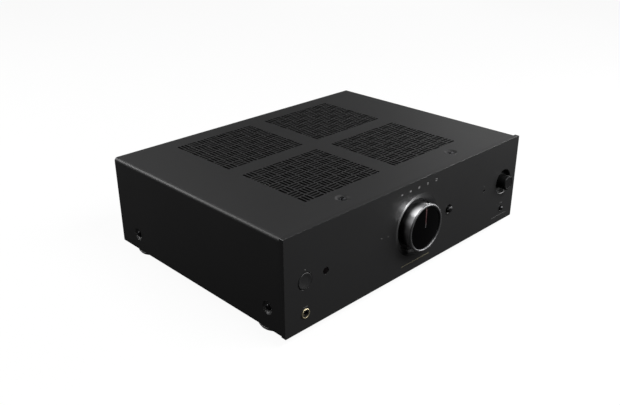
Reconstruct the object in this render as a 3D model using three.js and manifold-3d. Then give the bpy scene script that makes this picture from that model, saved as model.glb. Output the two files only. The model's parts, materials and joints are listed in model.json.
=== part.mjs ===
// Stereo receiver, built as an assembly of separate solids.
// Millimetres, +Z up, +X to the right seen from the front, +Y towards the rear.
// Parts are drawn with y counted from the front plate's face and z from the floor; the assembly
// is then moved so that the origin is the middle of its footprint on the floor.
import * as THREE from 'three';
import { mergeVertices } from 'three/addons/utils/BufferGeometryUtils.js';
import Module from 'manifold-3d';

const wasm = await Module();
wasm.setup();

// ---------------------------------------------------------------- driving dimensions
const SIDES = [['left', -1], ['right', 1]];
const FIT_GAP = 0.3; // clearance between stacked sheets and plates

const PLATE = { width: 430, thickness: 6, bottom: 12, top: 130 };
const FRAME_SHEET = 1.5;
const FRAME_FRONT = PLATE.thickness + FIT_GAP;
const FRAME_BACK = FRAME_FRONT + FRAME_SHEET;
const MOUNT_Y = FRAME_BACK + FIT_GAP; // front of the tray and of the bodies behind the frame

// Control centres on the front, [x, z]
const MAIN_ROW_Z = 71.4;
const LOWER_ROW_Z = 31.9;
const VOLUME_AT = [0, MAIN_ROW_Z];
const SELECTOR_AT = [186.2, MAIN_ROW_Z];
const POWER_AT = [-185.7, MAIN_ROW_Z];
const SENSOR_AT = [-155, MAIN_ROW_Z];
const MUTE_AT = [63, MAIN_ROW_Z];
const LIGHT_AT = [140.7, MAIN_ROW_Z];
const PAIRING_AT = [186.5, LOWER_ROW_Z];
const JACK_AT = [-185.6, LOWER_ROW_Z];
const LIGHT_RADIUS = 1.4;
const LIGHT_HOLE_RADIUS = LIGHT_RADIUS + 0.4;
const KNOB_FRONT = -14; // front of the volume knob

const COVER = {
  halfWidth: 214.5, sheet: 1.5, top: 129.6, bottom: 13.7, yRange: [6.3, 315.7],
  bendRadius: 4.5, bendSteps: 4,
};
const DIMPLE = { radius: 7.6, depth: 1.7, floorRadius: 4.3 };
const TOP_SCREWS = [[-100, 29], [100, 29]]; // [x, y]
const SIDE_SCREWS = [['front', [28, 39.5]], ['rear', [277.5, 35.6]]]; // [end, [y, z]]

const TRAY = { halfWidth: 211.2, sheet: 1.2, bottom: 13.9, wallTop: 50, back: 313.2 };
const FOOT_RADIUS = 20;
const FEET = [['front', 45.5], ['rear', 288.5]].flatMap(([end, y]) =>
  SIDES.map(([sideName, side]) => ({ name: `${end}_${sideName}`, at: [side * 187, y] })));

// Sockets on the rear panel; centres are [x, z]
const REAR_FRONT = TRAY.back + FIT_GAP;
const REAR_SHEET = 1.2;
const POST_Z = 50;
const POSTS = [['right_plus', -118], ['right_minus', -94], ['left_plus', -54], ['left_minus', -30]]
  .map(([name, x]) => ({ name, at: [x, POST_Z] }));
const POST_CAP_RADIUS = 8;
const POST_CAP_END = 334;
const RCA_CENTRES = [22, 46, 70, 94].flatMap((x) => [100, 78].map((z) => [x, z]));
const INLET_AT = [-172, 42];
const ROCKER_AT = [-172, 92];
const ROCKER_TILT = 7; // degrees
const DIGITAL_AT = [150, 90];
const DIGITAL_HALF = [21, 11]; // half width and half height
const ANTENNA_AT = [190, 90];

// ---------------------------------------------------------------- finishes
const FINISH = {
  anodised: { color: 0x242424, roughness: 0.42, metalness: 0.6 },
  paint: { color: 0x343434, roughness: 0.5, metalness: 0.1 },
  steel: { color: 0x6f7276, roughness: 0.45, metalness: 0.8 },
  blackSteel: { color: 0x1b1b1b, roughness: 0.6, metalness: 0.3 },
  plastic: { color: 0x141414, roughness: 0.55, metalness: 0 },
  rubber: { color: 0x101010, roughness: 0.9, metalness: 0 },
  gold: { color: 0xb08d3e, roughness: 0.3, metalness: 1 },
  circuitBoard: { color: 0x1d4a2c, roughness: 0.5, metalness: 0 },
  screw: { color: 0x202020, roughness: 0.4, metalness: 0.8 },
  footRing: { color: 0x9a9a9c, roughness: 0.25, metalness: 1 },
  volumeKnob: { color: 0x2c2c2e, roughness: 0.3, metalness: 0.9 },
  knobFace: { color: 0x050505, roughness: 0.08, metalness: 0 },
  pointer: { color: 0x8a4a44, roughness: 0.5, metalness: 0 },
  controlBody: { color: 0x50545a, roughness: 0.4, metalness: 0.8 },
  selectorKnob: { color: 0x262628, roughness: 0.35, metalness: 0.8 },
  powerButton: { color: 0x232323, roughness: 0.4, metalness: 0.5 },
  smallButton: { color: 0x2a2a2c, roughness: 0.25, metalness: 0.8 },
  sensorWindow: { color: 0x0a0508, roughness: 0.05, metalness: 0 },
  lightPipe: { color: 0xcfd2d4, roughness: 0.2, metalness: 0 },
  transformer: { color: 0x8e7a2a, roughness: 0.5, metalness: 0 },
  capacitor: { color: 0x1a2140, roughness: 0.35, metalness: 0 },
  heatsink: { color: 0x2a2a2b, roughness: 0.5, metalness: 0.7 },
  rocker: { color: 0x1a1a1a, roughness: 0.35, metalness: 0 },
  plusCap: { color: 0x8c1a17, roughness: 0.3, metalness: 0 },
  minusCap: { color: 0x161616, roughness: 0.3, metalness: 0 },
  wiring: { color: 0x2b2b2b, roughness: 0.6, metalness: 0 },
  ribbon: { color: 0xbfc3c6, roughness: 0.6, metalness: 0 },
};

// ---------------------------------------------------------------- solid helpers
// Turns a closed three.js geometry into a Manifold solid.
function solid(geometry) {
  for (const name of Object.keys(geometry.attributes)) {
    if (name !== 'position') geometry.deleteAttribute(name);
  }
  const merged = mergeVertices(geometry, 1e-4);
  const corners = merged.index.array;
  const triangles = [];
  for (let i = 0; i < corners.length; i += 3) {
    const [first, second, third] = corners.slice(i, i + 3);
    if (first !== second && second !== third && first !== third) {
      triangles.push([first, second, third]);
    }
  }
  const make = (list) => new wasm.Manifold(new wasm.Mesh({
    numProp: 3,
    vertProperties: new Float32Array(merged.attributes.position.array),
    triVerts: new Uint32Array(list.flat()),
  }));
  const made = make(triangles);
  // a profile drawn the other way round comes out inside out
  return made.volume() < 0 ? make(triangles.map((corner) => corner.reverse())) : made;
}

function geometryOf(shape) {
  const mesh = shape.getMesh();
  const geometry = new THREE.BufferGeometry();
  geometry.setAttribute('position', new THREE.Float32BufferAttribute(mesh.vertProperties, 3));
  geometry.setIndex(new THREE.Uint32BufferAttribute(mesh.triVerts, 1));
  geometry.computeVertexNormals();
  return geometry;
}

const union = (shapes) => shapes.reduce((sum, shape) => sum.add(shape));
const cut = (body, cutters) => body.subtract(union(cutters));

// A range is [start, end] and may run either way.
const around = (middle, half) => [middle - half, middle + half];
const sizeOf = ([start, end]) => Math.abs(end - start);
const middleOf = ([start, end]) => (start + end) / 2;

const box = (xRange, yRange, zRange) => solid(
  new THREE.BoxGeometry(sizeOf(xRange), sizeOf(yRange), sizeOf(zRange))
    .translate(middleOf(xRange), middleOf(yRange), middleOf(zRange)));

// A box centred on [x, z]
const block = ([x, z], [halfWidth, halfHeight], yRange) =>
  box(around(x, halfWidth), yRange, around(z, halfHeight));

// Lays a geometry standing along y onto an axis; `at` is the other two coordinates in xyz order.
function layAlong(axis, [first, second], geometry) {
  if (axis === 'x') return geometry.rotateZ(-Math.PI / 2).translate(0, first, second);
  if (axis === 'z') return geometry.rotateX(Math.PI / 2).translate(first, second, 0);
  return geometry.translate(first, 0, second);
}

function rod(axis, at, radius, range, sides) {
  const geometry = new THREE.CylinderGeometry(radius, radius, sizeOf(range), sides);
  return solid(layAlong(axis, at, geometry.translate(0, middleOf(range), 0)));
}

const vectors = (pairs) => pairs.map((pair) => new THREE.Vector2(...pair));

// The profile is [radius, place on the axis]; it starts and ends on the axis or closes on itself.
const turned = (axis, at, profile, sides) =>
  solid(layAlong(axis, at, new THREE.LatheGeometry(vectors(profile), sides)));

// Moves a profile's second column to a base and points it one way (1 or -1) along the axis.
const profileFrom = (base, direction, profile) =>
  profile.map(([radius, distance]) => [radius, base + direction * distance]);

// The outline's columns are the other two coordinates in xyz order.
function prism(axis, outline, [start, end]) {
  const options = { depth: end - start, bevelEnabled: false };
  const geometry = new THREE.ExtrudeGeometry(new THREE.Shape(vectors(outline)), options);
  if (axis === 'y') return solid(geometry.rotateX(Math.PI / 2).translate(0, end, 0));
  if (axis === 'z') return solid(geometry.translate(0, 0, start));
  const cycleAxes = new THREE.Matrix4().set(0, 0, 1, start, 1, 0, 0, 0, 0, 1, 0, 0, 0, 0, 0, 1);
  return solid(geometry.applyMatrix4(cycleAxes));
}

const assembly = new THREE.Group();
function part(name, shape, finish, parent = assembly) {
  const mesh = new THREE.Mesh(geometryOf(shape), new THREE.MeshStandardMaterial(finish));
  mesh.name = name;
  parent.add(mesh);
}

// ---------------------------------------------------------------- front plate
const PLATE_CUT = [-1, PLATE.thickness + 1];

// A round opening whose front edge is rounded over a width and a depth
function roundedOpening({ at, bore, width, depth = width, steps, sides }) {
  const profile = [[0, PLATE_CUT[0]], [bore + width, PLATE_CUT[0]]];
  for (let i = 0; i <= steps; i++) {
    const angle = (Math.PI / 2) * (i / steps);
    profile.push([bore + width * (1 - Math.sin(angle)), depth * (1 - Math.cos(angle))]);
  }
  profile.push([bore, PLATE_CUT[1]], [0, PLATE_CUT[1]]);
  return turned('y', at, profile, sides);
}

const ROUNDED_OPENINGS = [
  { at: VOLUME_AT, bore: 31.6, width: 8.8, depth: 5.7, steps: 6, sides: 36 },
  { at: SELECTOR_AT, bore: 16.4, width: 1.9, steps: 3, sides: 28 },
  { at: MUTE_AT, bore: 5.5, width: 0.8, steps: 2, sides: 16 },
  { at: PAIRING_AT, bore: 3.6, width: 0.5, steps: 2, sides: 14 },
];
// [centre, radius, sides]
const PLAIN_OPENINGS = [
  [POWER_AT, 10.1, 24], [SENSOR_AT, 4.3, 14], [JACK_AT, 4.9, 14],
  [LIGHT_AT, LIGHT_HOLE_RADIUS, 10],
];
const plate = box(
  around(0, PLATE.width / 2), [0, PLATE.thickness], [PLATE.bottom, PLATE.top]);
part('front_panel', cut(plate, [
  ...ROUNDED_OPENINGS.map(roundedOpening),
  ...PLAIN_OPENINGS.map(([at, radius, sides]) => rod('y', at, radius, PLATE_CUT, sides)),
]), FINISH.anodised);

// ---------------------------------------------------------------- steel frame behind the plate
const FRAME_TOP = 126.2;
// [centre, radius, sides]
const FRAME_HOLES = [
  [VOLUME_AT, 5.1, 10], [SELECTOR_AT, 4.4, 10], [POWER_AT, 3.7, 10], [SENSOR_AT, 3.6, 10],
  [JACK_AT, 5.1, 10], [MUTE_AT, 2.2, 10], [PAIRING_AT, 1.8, 10],
  [LIGHT_AT, LIGHT_HOLE_RADIUS, 8],
];
const frame = union([
  box(around(0, 210.5), [FRAME_FRONT, FRAME_BACK], [15.5, FRAME_TOP]),
  box(around(0, 200), [FRAME_BACK, 40], [FRAME_TOP - FRAME_SHEET, FRAME_TOP]),
]);
part('front_subpanel', cut(frame, [
  ...FRAME_HOLES.map(([at, radius, sides]) => rod('y', at, radius, [5, 9], sides)),
  ...TOP_SCREWS.map((at) => rod('z', at, 1.6, [120, 128], 8)),
]), FINISH.blackSteel);

// ---------------------------------------------------------------- one-piece folded cover
// One face of the folded sheet, [x, z] from lower right over the top to lower left
function foldLine(inset) {
  const edgeX = COVER.halfWidth - inset;
  const radius = COVER.bendRadius - inset;
  const centreX = COVER.halfWidth - COVER.bendRadius;
  const centreZ = COVER.top - COVER.bendRadius;
  const line = [[edgeX, COVER.bottom]];
  for (const [side, startAngle] of [[1, 0], [-1, Math.PI / 2]]) {
    for (let i = 0; i <= COVER.bendSteps; i++) {
      const angle = startAngle + (Math.PI / 2) * (i / COVER.bendSteps);
      line.push([side * centreX + radius * Math.cos(angle), centreZ + radius * Math.sin(angle)]);
    }
  }
  return [...line, [-edgeX, COVER.bottom]];
}

// Two banks of rectangular vents on each side of the middle; x is mirrored
const VENTS = {
  xRange: [12.5, 138], yRanges: [[48.5, 158.5], [181.5, 291.5]], columns: 4, rows: 7, bar: 2.2,
};
function ventCutters() {
  const { xRange, yRanges, columns, rows, bar } = VENTS;
  const columnPitch = (sizeOf(xRange) + bar) / columns;
  const cutters = [];
  for (const [, side] of SIDES) for (const yRange of yRanges) {
    const rowPitch = (sizeOf(yRange) + bar) / rows;
    for (let row = 0; row < rows; row++) for (let column = 0; column < columns; column++) {
      const x = xRange[0] + column * columnPitch;
      const y = yRange[0] + row * rowPitch;
      cutters.push(box(
        [side * x, side * (x + columnPitch - bar)], [y, y + rowPitch - bar], [120, 135]));
    }
  }
  return cutters;
}

// face is the cover's outer surface on the screw's axis, outward the way it looks along that axis
const COVER_SCREWS = [
  ...TOP_SCREWS.map((at, i) => (
    { name: `top_${SIDES[i][0]}`, axis: 'z', at, face: COVER.top, outward: 1 })),
  ...SIDES.flatMap(([sideName, side]) => SIDE_SCREWS.map(([end, at]) => (
    { name: `side_${sideName}_${end}`, axis: 'x', at, face: side * COVER.halfWidth,
      outward: side }))),
];

const dimpleBody = ({ axis, at, face, outward }) =>
  rod(axis, at, DIMPLE.radius, [face - outward * 3.1, face - outward * 0.5], 16);

function dimpleCutters({ axis, at, face, outward }) {
  const rim = DIMPLE.radius - 0.6;
  const dish = [
    [0, 1], [rim, 1], [rim, 0], [DIMPLE.floorRadius, -DIMPLE.depth], [0, -DIMPLE.depth],
  ];
  return [
    turned(axis, at, profileFrom(face, outward, dish), 16),
    rod(axis, at, 1.9, [face - outward * 6, face + outward * 2], 8),
  ];
}

const sheet = prism('y', [...foldLine(0), ...foldLine(COVER.sheet).reverse()], COVER.yRange);
const dimpledSheet = union([sheet, ...COVER_SCREWS.map(dimpleBody)]);
part('top_cover', cut(dimpledSheet, [...ventCutters(), ...COVER_SCREWS.flatMap(dimpleCutters)]),
  FINISH.paint);

// pan-head screws that hold the cover; [radius, distance out from under the head]
const SCREW_PROFILE = [
  [0, -5], [1.4, -5], [1.4, 0], [3.3, 0], [3.3, 0.8], [1.98, 1.4], [0, 1.4],
];
for (const { name, axis, at, face, outward } of COVER_SCREWS) {
  const seat = face - outward * (DIMPLE.depth - 0.05);
  part(`cover_screw_${name}`,
    turned(axis, at, profileFrom(seat, outward, SCREW_PROFILE), 12), FINISH.screw);
}

// ---------------------------------------------------------------- chassis tray
function chassisTray() {
  const { halfWidth, sheet: thickness, bottom, wallTop, back } = TRAY;
  const innerX = halfWidth - thickness;
  const floorTop = bottom + thickness;
  const channel = [
    [-halfWidth, bottom], [halfWidth, bottom], [halfWidth, wallTop], [innerX, wallTop],
    [innerX, floorTop], [-innerX, floorTop], [-innerX, wallTop], [-halfWidth, wallTop],
  ];
  const body = union([
    prism('y', channel, [MOUNT_Y, back]),
    box(around(0, 210.6), [MOUNT_Y, MOUNT_Y + thickness], [14.5, 22]),
    box(around(0, 210.6), [back - thickness, back], [14.5, 24]),
  ]);
  const cutters = FEET.map(({ at }) => rod('z', at, 2.3, [10, 20], 8));
  for (const x of [-60, 60]) for (let i = 0; i < 9; i++) {
    cutters.push(box(around(x, 40), [70 + i * 20, 76 + i * 20], [10, 16]));
  }
  for (const [, side] of SIDES) for (const [, at] of SIDE_SCREWS) {
    cutters.push(rod('x', at, 1.6, [side * 205, side * 215], 8));
  }
  return cut(body, cutters);
}
part('chassis_tray', chassisTray(), FINISH.steel);

// ---------------------------------------------------------------- feet
// each foot is a moulded cup with a soft rim on the floor and a bright ring in its groove
const FOOT_PROFILE = [
  [5.2, 0], [18.2, 0], [18.9, 0.6], [18.9, 1.6], [17.2, 1.6], [17.2, 4.5],
  [FOOT_RADIUS - 1, 4.5], [FOOT_RADIUS - 0.3, 5.2], [FOOT_RADIUS - 0.3, 13.6],
  [2.4, 13.6], [2.4, 9], [5.2, 9], [5.2, 0],
];
const FOOT_RING_PROFILE = [
  [17.6, 1.9], [FOOT_RADIUS - 0.6, 1.9], [FOOT_RADIUS, 2.5], [FOOT_RADIUS, 4.2],
  [17.6, 4.2], [17.6, 1.9],
];
for (const { name, at } of FEET) {
  part(`foot_${name}`, turned('z', at, FOOT_PROFILE, 18), FINISH.rubber);
  part(`foot_ring_${name}`, turned('z', at, FOOT_RING_PROFILE, 20), FINISH.footRing);
}

// ---------------------------------------------------------------- rotary controls
// A square body behind the frame with a bored bushing reaching forward
function rotaryControl({ at, half, back, bushingRadius, bushingFront, boreRadius }) {
  const body = block(at, [half, half], [MOUNT_Y, back])
    .add(rod('y', at, bushingRadius, [bushingFront, MOUNT_Y + 0.5], 14));
  return body.subtract(rod('y', at, boreRadius, [bushingFront - 1, 12], 14));
}

const hexNut = (at, boreRadius, radius, [front, back]) =>
  rod('y', at, radius, [front, back], 6)
    .subtract(rod('y', at, boreRadius, [front - 1, back + 1], 14));

const SHAFT_RADIUS = 3;
const SHAFT_BACK = 11.4;

// volume
const KNOB_RADIUS = 30.2;
part('volume_knob', turned('y', VOLUME_AT, [
  [0, -10.8], [27.3, -10.8], [27.3, -13.6], [27.8, KNOB_FRONT], [29.3, KNOB_FRONT],
  [KNOB_RADIUS, -13.1], [KNOB_RADIUS, -12.3], [29.4, -9], [28.7, -5], [28.3, -1], [28.3, 3.4],
  [26, 3.4], [26, -7], [8, -7], [8, 2], [3.3, 2], [3.3, -9.4], [0, -9.4],
], 30), FINISH.volumeKnob);
const pointerGroove = box(around(0, 1), [-13, -12], [MAIN_ROW_Z - 0.3, MAIN_ROW_Z + 25.8]);
part('volume_knob_face',
  rod('y', VOLUME_AT, 27, [-12.6, -11], 36).subtract(pointerGroove), FINISH.knobFace);
part('volume_pointer',
  box(around(0, 0.75), [-12.65, -12.15], [MAIN_ROW_Z, MAIN_ROW_Z + 25.5]), FINISH.pointer);
part('volume_shaft', rod('y', VOLUME_AT, SHAFT_RADIUS, [-9.2, SHAFT_BACK], 14), FINISH.steel);
part('volume_potentiometer', rotaryControl({
  at: VOLUME_AT, half: 13, back: 21.5, bushingRadius: 4.6, bushingFront: 3.6, boreRadius: 3.5,
}), FINISH.controlBody);
part('volume_nut', hexNut(VOLUME_AT, 4.9, 7.2, [3.7, 6.1]), FINISH.steel);

// input selector
const SELECTOR_RADIUS = 9.8;
const SELECTOR_FRONT = -9;
part('selector_knob', turned('y', SELECTOR_AT, [
  [0, SELECTOR_FRONT + 0.5], [7.6, SELECTOR_FRONT + 0.5], [8, SELECTOR_FRONT],
  [9, SELECTOR_FRONT], [SELECTOR_RADIUS, SELECTOR_FRONT + 0.8], [SELECTOR_RADIUS, 4.4],
  [3.3, 4.4], [3.3, -5], [0, -5],
], 24), FINISH.selectorKnob);
part('selector_shaft', rod('y', SELECTOR_AT, SHAFT_RADIUS, [-4.8, SHAFT_BACK], 12), FINISH.steel);
part('selector_encoder', rotaryControl({
  at: SELECTOR_AT, half: 6.5, back: 15, bushingRadius: 3.9, bushingFront: 4.8, boreRadius: 3.45,
}), FINISH.controlBody);
part('selector_nut', hexNut(SELECTOR_AT, 4.2, 6, [4.9, 6.1]), FINISH.steel);

// ---------------------------------------------------------------- buttons
// A turned head on a stem, with a collar on the stem behind the frame
function button({ at, head, stem, collar, collarBack, end, sides }) {
  const headBack = head.at(-1)[1];
  const collarFront = 8.6;
  return turned('y', at, [
    ...head, [stem, headBack], [stem, collarFront], [collar, collarFront],
    [collar, collarBack], [stem, collarBack], [stem, end], [0, end],
  ], sides);
}
part('power_button', button({
  at: POWER_AT,
  head: [[0, -0.1], [5, -0.2], [8.6, -0.6], [9.2, -0.6], [9.6, -0.2], [9.6, 3.4]],
  stem: 3, collar: 5, collarBack: 9.6, end: 13.4, sides: 20,
}), FINISH.powerButton);
part('mute_button', button({
  at: MUTE_AT,
  head: [[0, -4.1], [2.6, -3.9], [3.9, -3.1], [4.2, -2.2], [4.2, 4]],
  stem: 1.7, collar: 2.8, collarBack: 9.4, end: 15, sides: 16,
}), FINISH.smallButton);
part('pairing_button', button({
  at: PAIRING_AT,
  head: [[0, -3.1], [1.8, -2.9], [2.7, -2.2], [2.9, -1.6], [2.9, 4]],
  stem: 1.3, collar: 2.2, collarBack: 9.4, end: 15, sides: 12,
}), FINISH.smallButton);
part('power_switch', union([
  block(POWER_AT, [7, 7], [17.2, 21.8]), rod('y', POWER_AT, 2.6, [16.3, 17.8], 10),
]), FINISH.plastic);

// ---------------------------------------------------------------- headphone socket
const jackBody = block(JACK_AT, [8, 8], [MOUNT_Y, 21.8])
  .add(rod('y', JACK_AT, 4.55, [-0.7, 8.6], 16));
part('headphone_jack', jackBody.subtract(rod('y', JACK_AT, 3.3, [-2, 20], 16)), FINISH.plastic);
part('headphone_jack_nut', turned('y', JACK_AT, [
  [4.75, -0.2], [4.75, -1.1], [5.3, -1.1], [5.75, -0.7], [5.75, -0.2], [4.75, -0.2],
], 16), FINISH.gold);

// ---------------------------------------------------------------- sensor window, status light
part('ir_window', rod('y', SENSOR_AT, 4.05, [0.5, 5.9], 14), FINISH.sensorWindow);
part('status_light_pipe', rod('y', LIGHT_AT, LIGHT_RADIUS, [-0.15, 21.6], 8), FINISH.lightPipe);

// ---------------------------------------------------------------- control board
// it carries two tact switches and the remote sensor
const tactSwitch = (at) =>
  block(at, [3, 3], [18, 22.6]).add(rod('y', at, 1.7, [16.6, 18.5], 10));
part('control_board', union([
  box(around(0, 203), [22, 23.6], [24, 112]),
  tactSwitch(MUTE_AT),
  tactSwitch(PAIRING_AT),
  block(SENSOR_AT, [3, 4], [16, 22.6]),
]), FINISH.circuitBoard);

// ---------------------------------------------------------------- power supply
const TRANSFORMER_AT = [-132, 132]; // [x, y]
part('toroidal_transformer', turned('z', TRANSFORMER_AT, [
  [21, 19.5], [24, 16.5], [55, 16.5], [60, 21], [61, 42], [60, 63], [55, 67.5], [24, 67.5],
  [21, 64.5], [21, 19.5],
], 24), FINISH.transformer);
part('transformer_clamp', turned('z', TRANSFORMER_AT, [
  [0, 15.3], [3.5, 15.3], [3.5, 67.9], [30, 67.9], [32, 69], [30, 70], [6.5, 70], [6.5, 75],
  [0, 75],
], 16), FINISH.steel);
const CAPACITOR_PROFILE = [
  [0, 27.9], [17, 27.9], [17.5, 28.6], [17.5, 73], [16.5, 74], [0, 74],
];
for (const [sideName, x] of [['left', 52], ['right', 98]]) {
  part(`filter_capacitor_${sideName}`, turned('z', [x, 128], CAPACITOR_PROFILE, 18),
    FINISH.capacitor);
}

// ---------------------------------------------------------------- amplifier board
// the board stands on six pillars
const pillars = [-38, 75, 185].flatMap((x) =>
  [70, 242].map((y) => rod('z', [x, y], 3, [15.4, 26.6], 8)));
part('amplifier_board', union([box([-45, 192], [62, 250], [26.1, 27.7]), ...pillars]),
  FINISH.circuitBoard);

// ---------------------------------------------------------------- heatsinks, output devices
const HEATSINK = {
  yRange: [76, 236], zRange: [28, 108], base: 4, depth: 40, fins: 10, finThickness: 2.4,
};
// Comb outline, [x, y]: a flat base with fins standing out from the back face towards one side
function combOutline(backX, side) {
  const { yRange: [start, end], base, depth, fins, finThickness } = HEATSINK;
  const rootX = backX + side * base;
  const tipX = backX + side * depth;
  const pitch = (end - start - finThickness) / (fins - 1);
  const outline = [[backX, start], [backX, end]];
  for (let i = fins - 1; i >= 0; i--) {
    const y = start + i * pitch;
    outline.push([tipX, y + finThickness], [tipX, y]);
    if (i) outline.push([rootX, y], [rootX, y - pitch + finThickness]);
  }
  return outline;
}
const HEATSINK_BACK_X = { left: 12, right: 138 };
for (const [sideName, side] of SIDES) {
  const backX = HEATSINK_BACK_X[sideName];
  part(`heatsink_${sideName}`, prism('z', combOutline(backX, side), HEATSINK.zRange),
    FINISH.heatsink);
  part(`output_device_${sideName}`,
    box([backX - side * 0.3, backX - side * 5.3], [136, 164], [38, 58]), FINISH.plastic);
}

// ---------------------------------------------------------------- rear panel
const REAR_CUT = [310, 318];
const REAR_SCREWS = [-200, 0, 200].flatMap((x) => [22, 120].map((z) => [x, z]));
const rearPlate = box(around(0, 210.8), [REAR_FRONT, REAR_FRONT + REAR_SHEET], [15.5, 127.8]);
part('rear_panel', cut(rearPlate, [
  block(INLET_AT, [14, 10.5], REAR_CUT),
  block(ROCKER_AT, [8, 11.2], REAR_CUT),
  block(DIGITAL_AT, DIGITAL_HALF.map((half) => half + 0.5), REAR_CUT),
  rod('y', ANTENNA_AT, 3.6, REAR_CUT, 10),
  ...POSTS.map(({ at }) => rod('y', at, 4.4, REAR_CUT, 10)),
  ...RCA_CENTRES.map((at) => rod('y', at, 3.4, REAR_CUT, 8)),
  ...REAR_SCREWS.map((at) => rod('y', at, 1.7, REAR_CUT, 8)),
]), FINISH.blackSteel);

// ---------------------------------------------------------------- mains inlet and switch
// A flange outside the panel, a body through it and a recess open to the rear
const recessed = (at, flange, body, recess) =>
  block(at, ...flange).add(block(at, ...body)).subtract(block(at, ...recess));
part('iec_inlet', recessed(INLET_AT,
  [[24.5, 11.2], [314.9, 317.4]], [[13.6, 10], [294, 316]], [[11.6, 7.8], [299, 319]],
), FINISH.plastic);
part('mains_switch_housing', recessed(ROCKER_AT,
  [[9, 12.4], [314.9, 316.5]], [[7.7, 11], [297, 316]], [[6.4, 9.8], [303, 319]],
), FINISH.plastic);

// the rocker is shown switched on, so it leans one way about its pivot; outline is [y, z]
const ROCKER_OUTLINE = [
  [-5, -7.2], [6.6, -8.4], [5.2, -4], [4.7, 0], [5.2, 4], [6.6, 8.4], [-5, 7.2],
];
const rocker = new THREE.Group();
rocker.position.set(ROCKER_AT[0], 311, ROCKER_AT[1]);
rocker.rotation.x = THREE.MathUtils.degToRad(ROCKER_TILT);
part('mains_rocker', prism('x', ROCKER_OUTLINE, around(0, 5.9)), FINISH.rocker, rocker);
assembly.add(rocker);

// ---------------------------------------------------------------- speaker terminals
const POST_PROFILE = [
  [0, 302], [3, 302], [3, 313.2], [4.1, 313.2], [4.1, 315.5], [7.4, 315.5], [7.4, 318.1],
  [3, 318.1], [3, 332.4], [0, 332.4],
];
const terminals = union([
  box([-130, -18], [314.95, 317.2], around(POST_Z, 12)),
  ...POSTS.map(({ at }) => turned('y', at, POST_PROFILE, 14)),
]);
part('speaker_terminal_block',
  cut(terminals, POSTS.map(({ at }) => rod('y', at, 2.1, [317, 340], 10))), FINISH.gold);

const POST_CAP_PROFILE = [
  [3.4, 318.5], [7.2, 318.5], [POST_CAP_RADIUS, 319.5], [POST_CAP_RADIUS, POST_CAP_END - 1],
  [7.2, POST_CAP_END], [3.4, POST_CAP_END], [3.4, 318.5],
];
for (const { name, at } of POSTS) {
  part(`binding_post_cap_${name}`, turned('y', at, POST_CAP_PROFILE, 18),
    name.endsWith('plus') ? FINISH.plusCap : FINISH.minusCap);
}

// ---------------------------------------------------------------- signal sockets
const RCA_PROFILE = [[0, 312], [3, 312], [3, 315], [4.15, 315], [4.15, 325], [0, 325]];
const rcaBody = union([
  box([14, 102], [296, 313.1], [69, 109]),
  ...RCA_CENTRES.map((at) => turned('y', at, RCA_PROFILE, 10)),
]);
part('rca_socket_block',
  cut(rcaBody, RCA_CENTRES.map((at) => rod('y', at, 3.3, [317, 330], 10))), FINISH.gold);

// a square recess beside a round socket
part('digital_socket_block', block(DIGITAL_AT, DIGITAL_HALF, [298, 315.6])
  .subtract(block([142, 90], [5.5, 5.5], [306, 318]))
  .add(turned('y', [160, 90], [
    [0, 315], [5.2, 315], [5.2, 316.6], [4.15, 316.6], [4.15, 325], [3.3, 325], [3.3, 317],
    [0, 317],
  ], 12)), FINISH.plastic);

part('antenna_connector', turned('y', ANTENNA_AT, [
  [0, 300], [3.3, 300], [3.3, 314.95], [7, 314.95], [7, 317], [4.8, 317], [4.8, 326],
  [3.9, 326], [3.9, 318], [0, 318],
], 14), FINISH.steel);

// ---------------------------------------------------------------- cables
const WIRING = { radius: 2.6, sides: 6, steps: 12 };
// [x, y, z] from the inlet to the transformer
const WIRING_PATH = [
  [-172, 293.5, 42], [-172, 270, 40], [-165, 235, 30], [-150, 205, 24], [-136, 196, 24],
];
function mainsWiring() {
  const path = WIRING_PATH.map((point) => new THREE.Vector3(...point));
  const ring = [];
  for (let i = 0; i < WIRING.sides; i++) {
    const angle = (2 * Math.PI * i) / WIRING.sides;
    ring.push([WIRING.radius * Math.cos(angle), WIRING.radius * Math.sin(angle)]);
  }
  return solid(new THREE.ExtrudeGeometry(new THREE.Shape(vectors(ring)), {
    steps: WIRING.steps,
    bevelEnabled: false,
    extrudePath: new THREE.CatmullRomCurve3(path, false, 'centripetal'),
  }));
}
part('mains_wiring', mainsWiring(), FINISH.wiring);

// [y, z]: down behind the control board, along the floor and up at the rear
const RIBBON_OUTLINE = [
  [23.9, 34], [24.7, 34], [24.7, 17.8], [302.2, 17.8], [302.2, 68.7], [303, 68.7], [303, 17],
  [23.9, 17],
];
part('ribbon_cable', prism('x', RIBBON_OUTLINE, [88, 101]), FINISH.ribbon);

// ---------------------------------------------------------------- origin
assembly.position.y = -(KNOB_FRONT + POST_CAP_END) / 2;
const receiver = new THREE.Group();
receiver.add(assembly);
export default receiver;
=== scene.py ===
# A stereo receiver: front plate with knobs and buttons, folded cover and tray, feet,
# rear panel with its sockets, and the boards, transformer and wiring inside.
# Lengths are millimetres unless a comment says otherwise: x from the middle (right is +x, seen
# from the front), y backwards from the front plate's face, z up from the floor.
import json
import math
from collections import namedtuple

import bpy
from mathutils import Matrix, Vector
from mathutils.geometry import delaunay_2d_cdt


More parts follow.
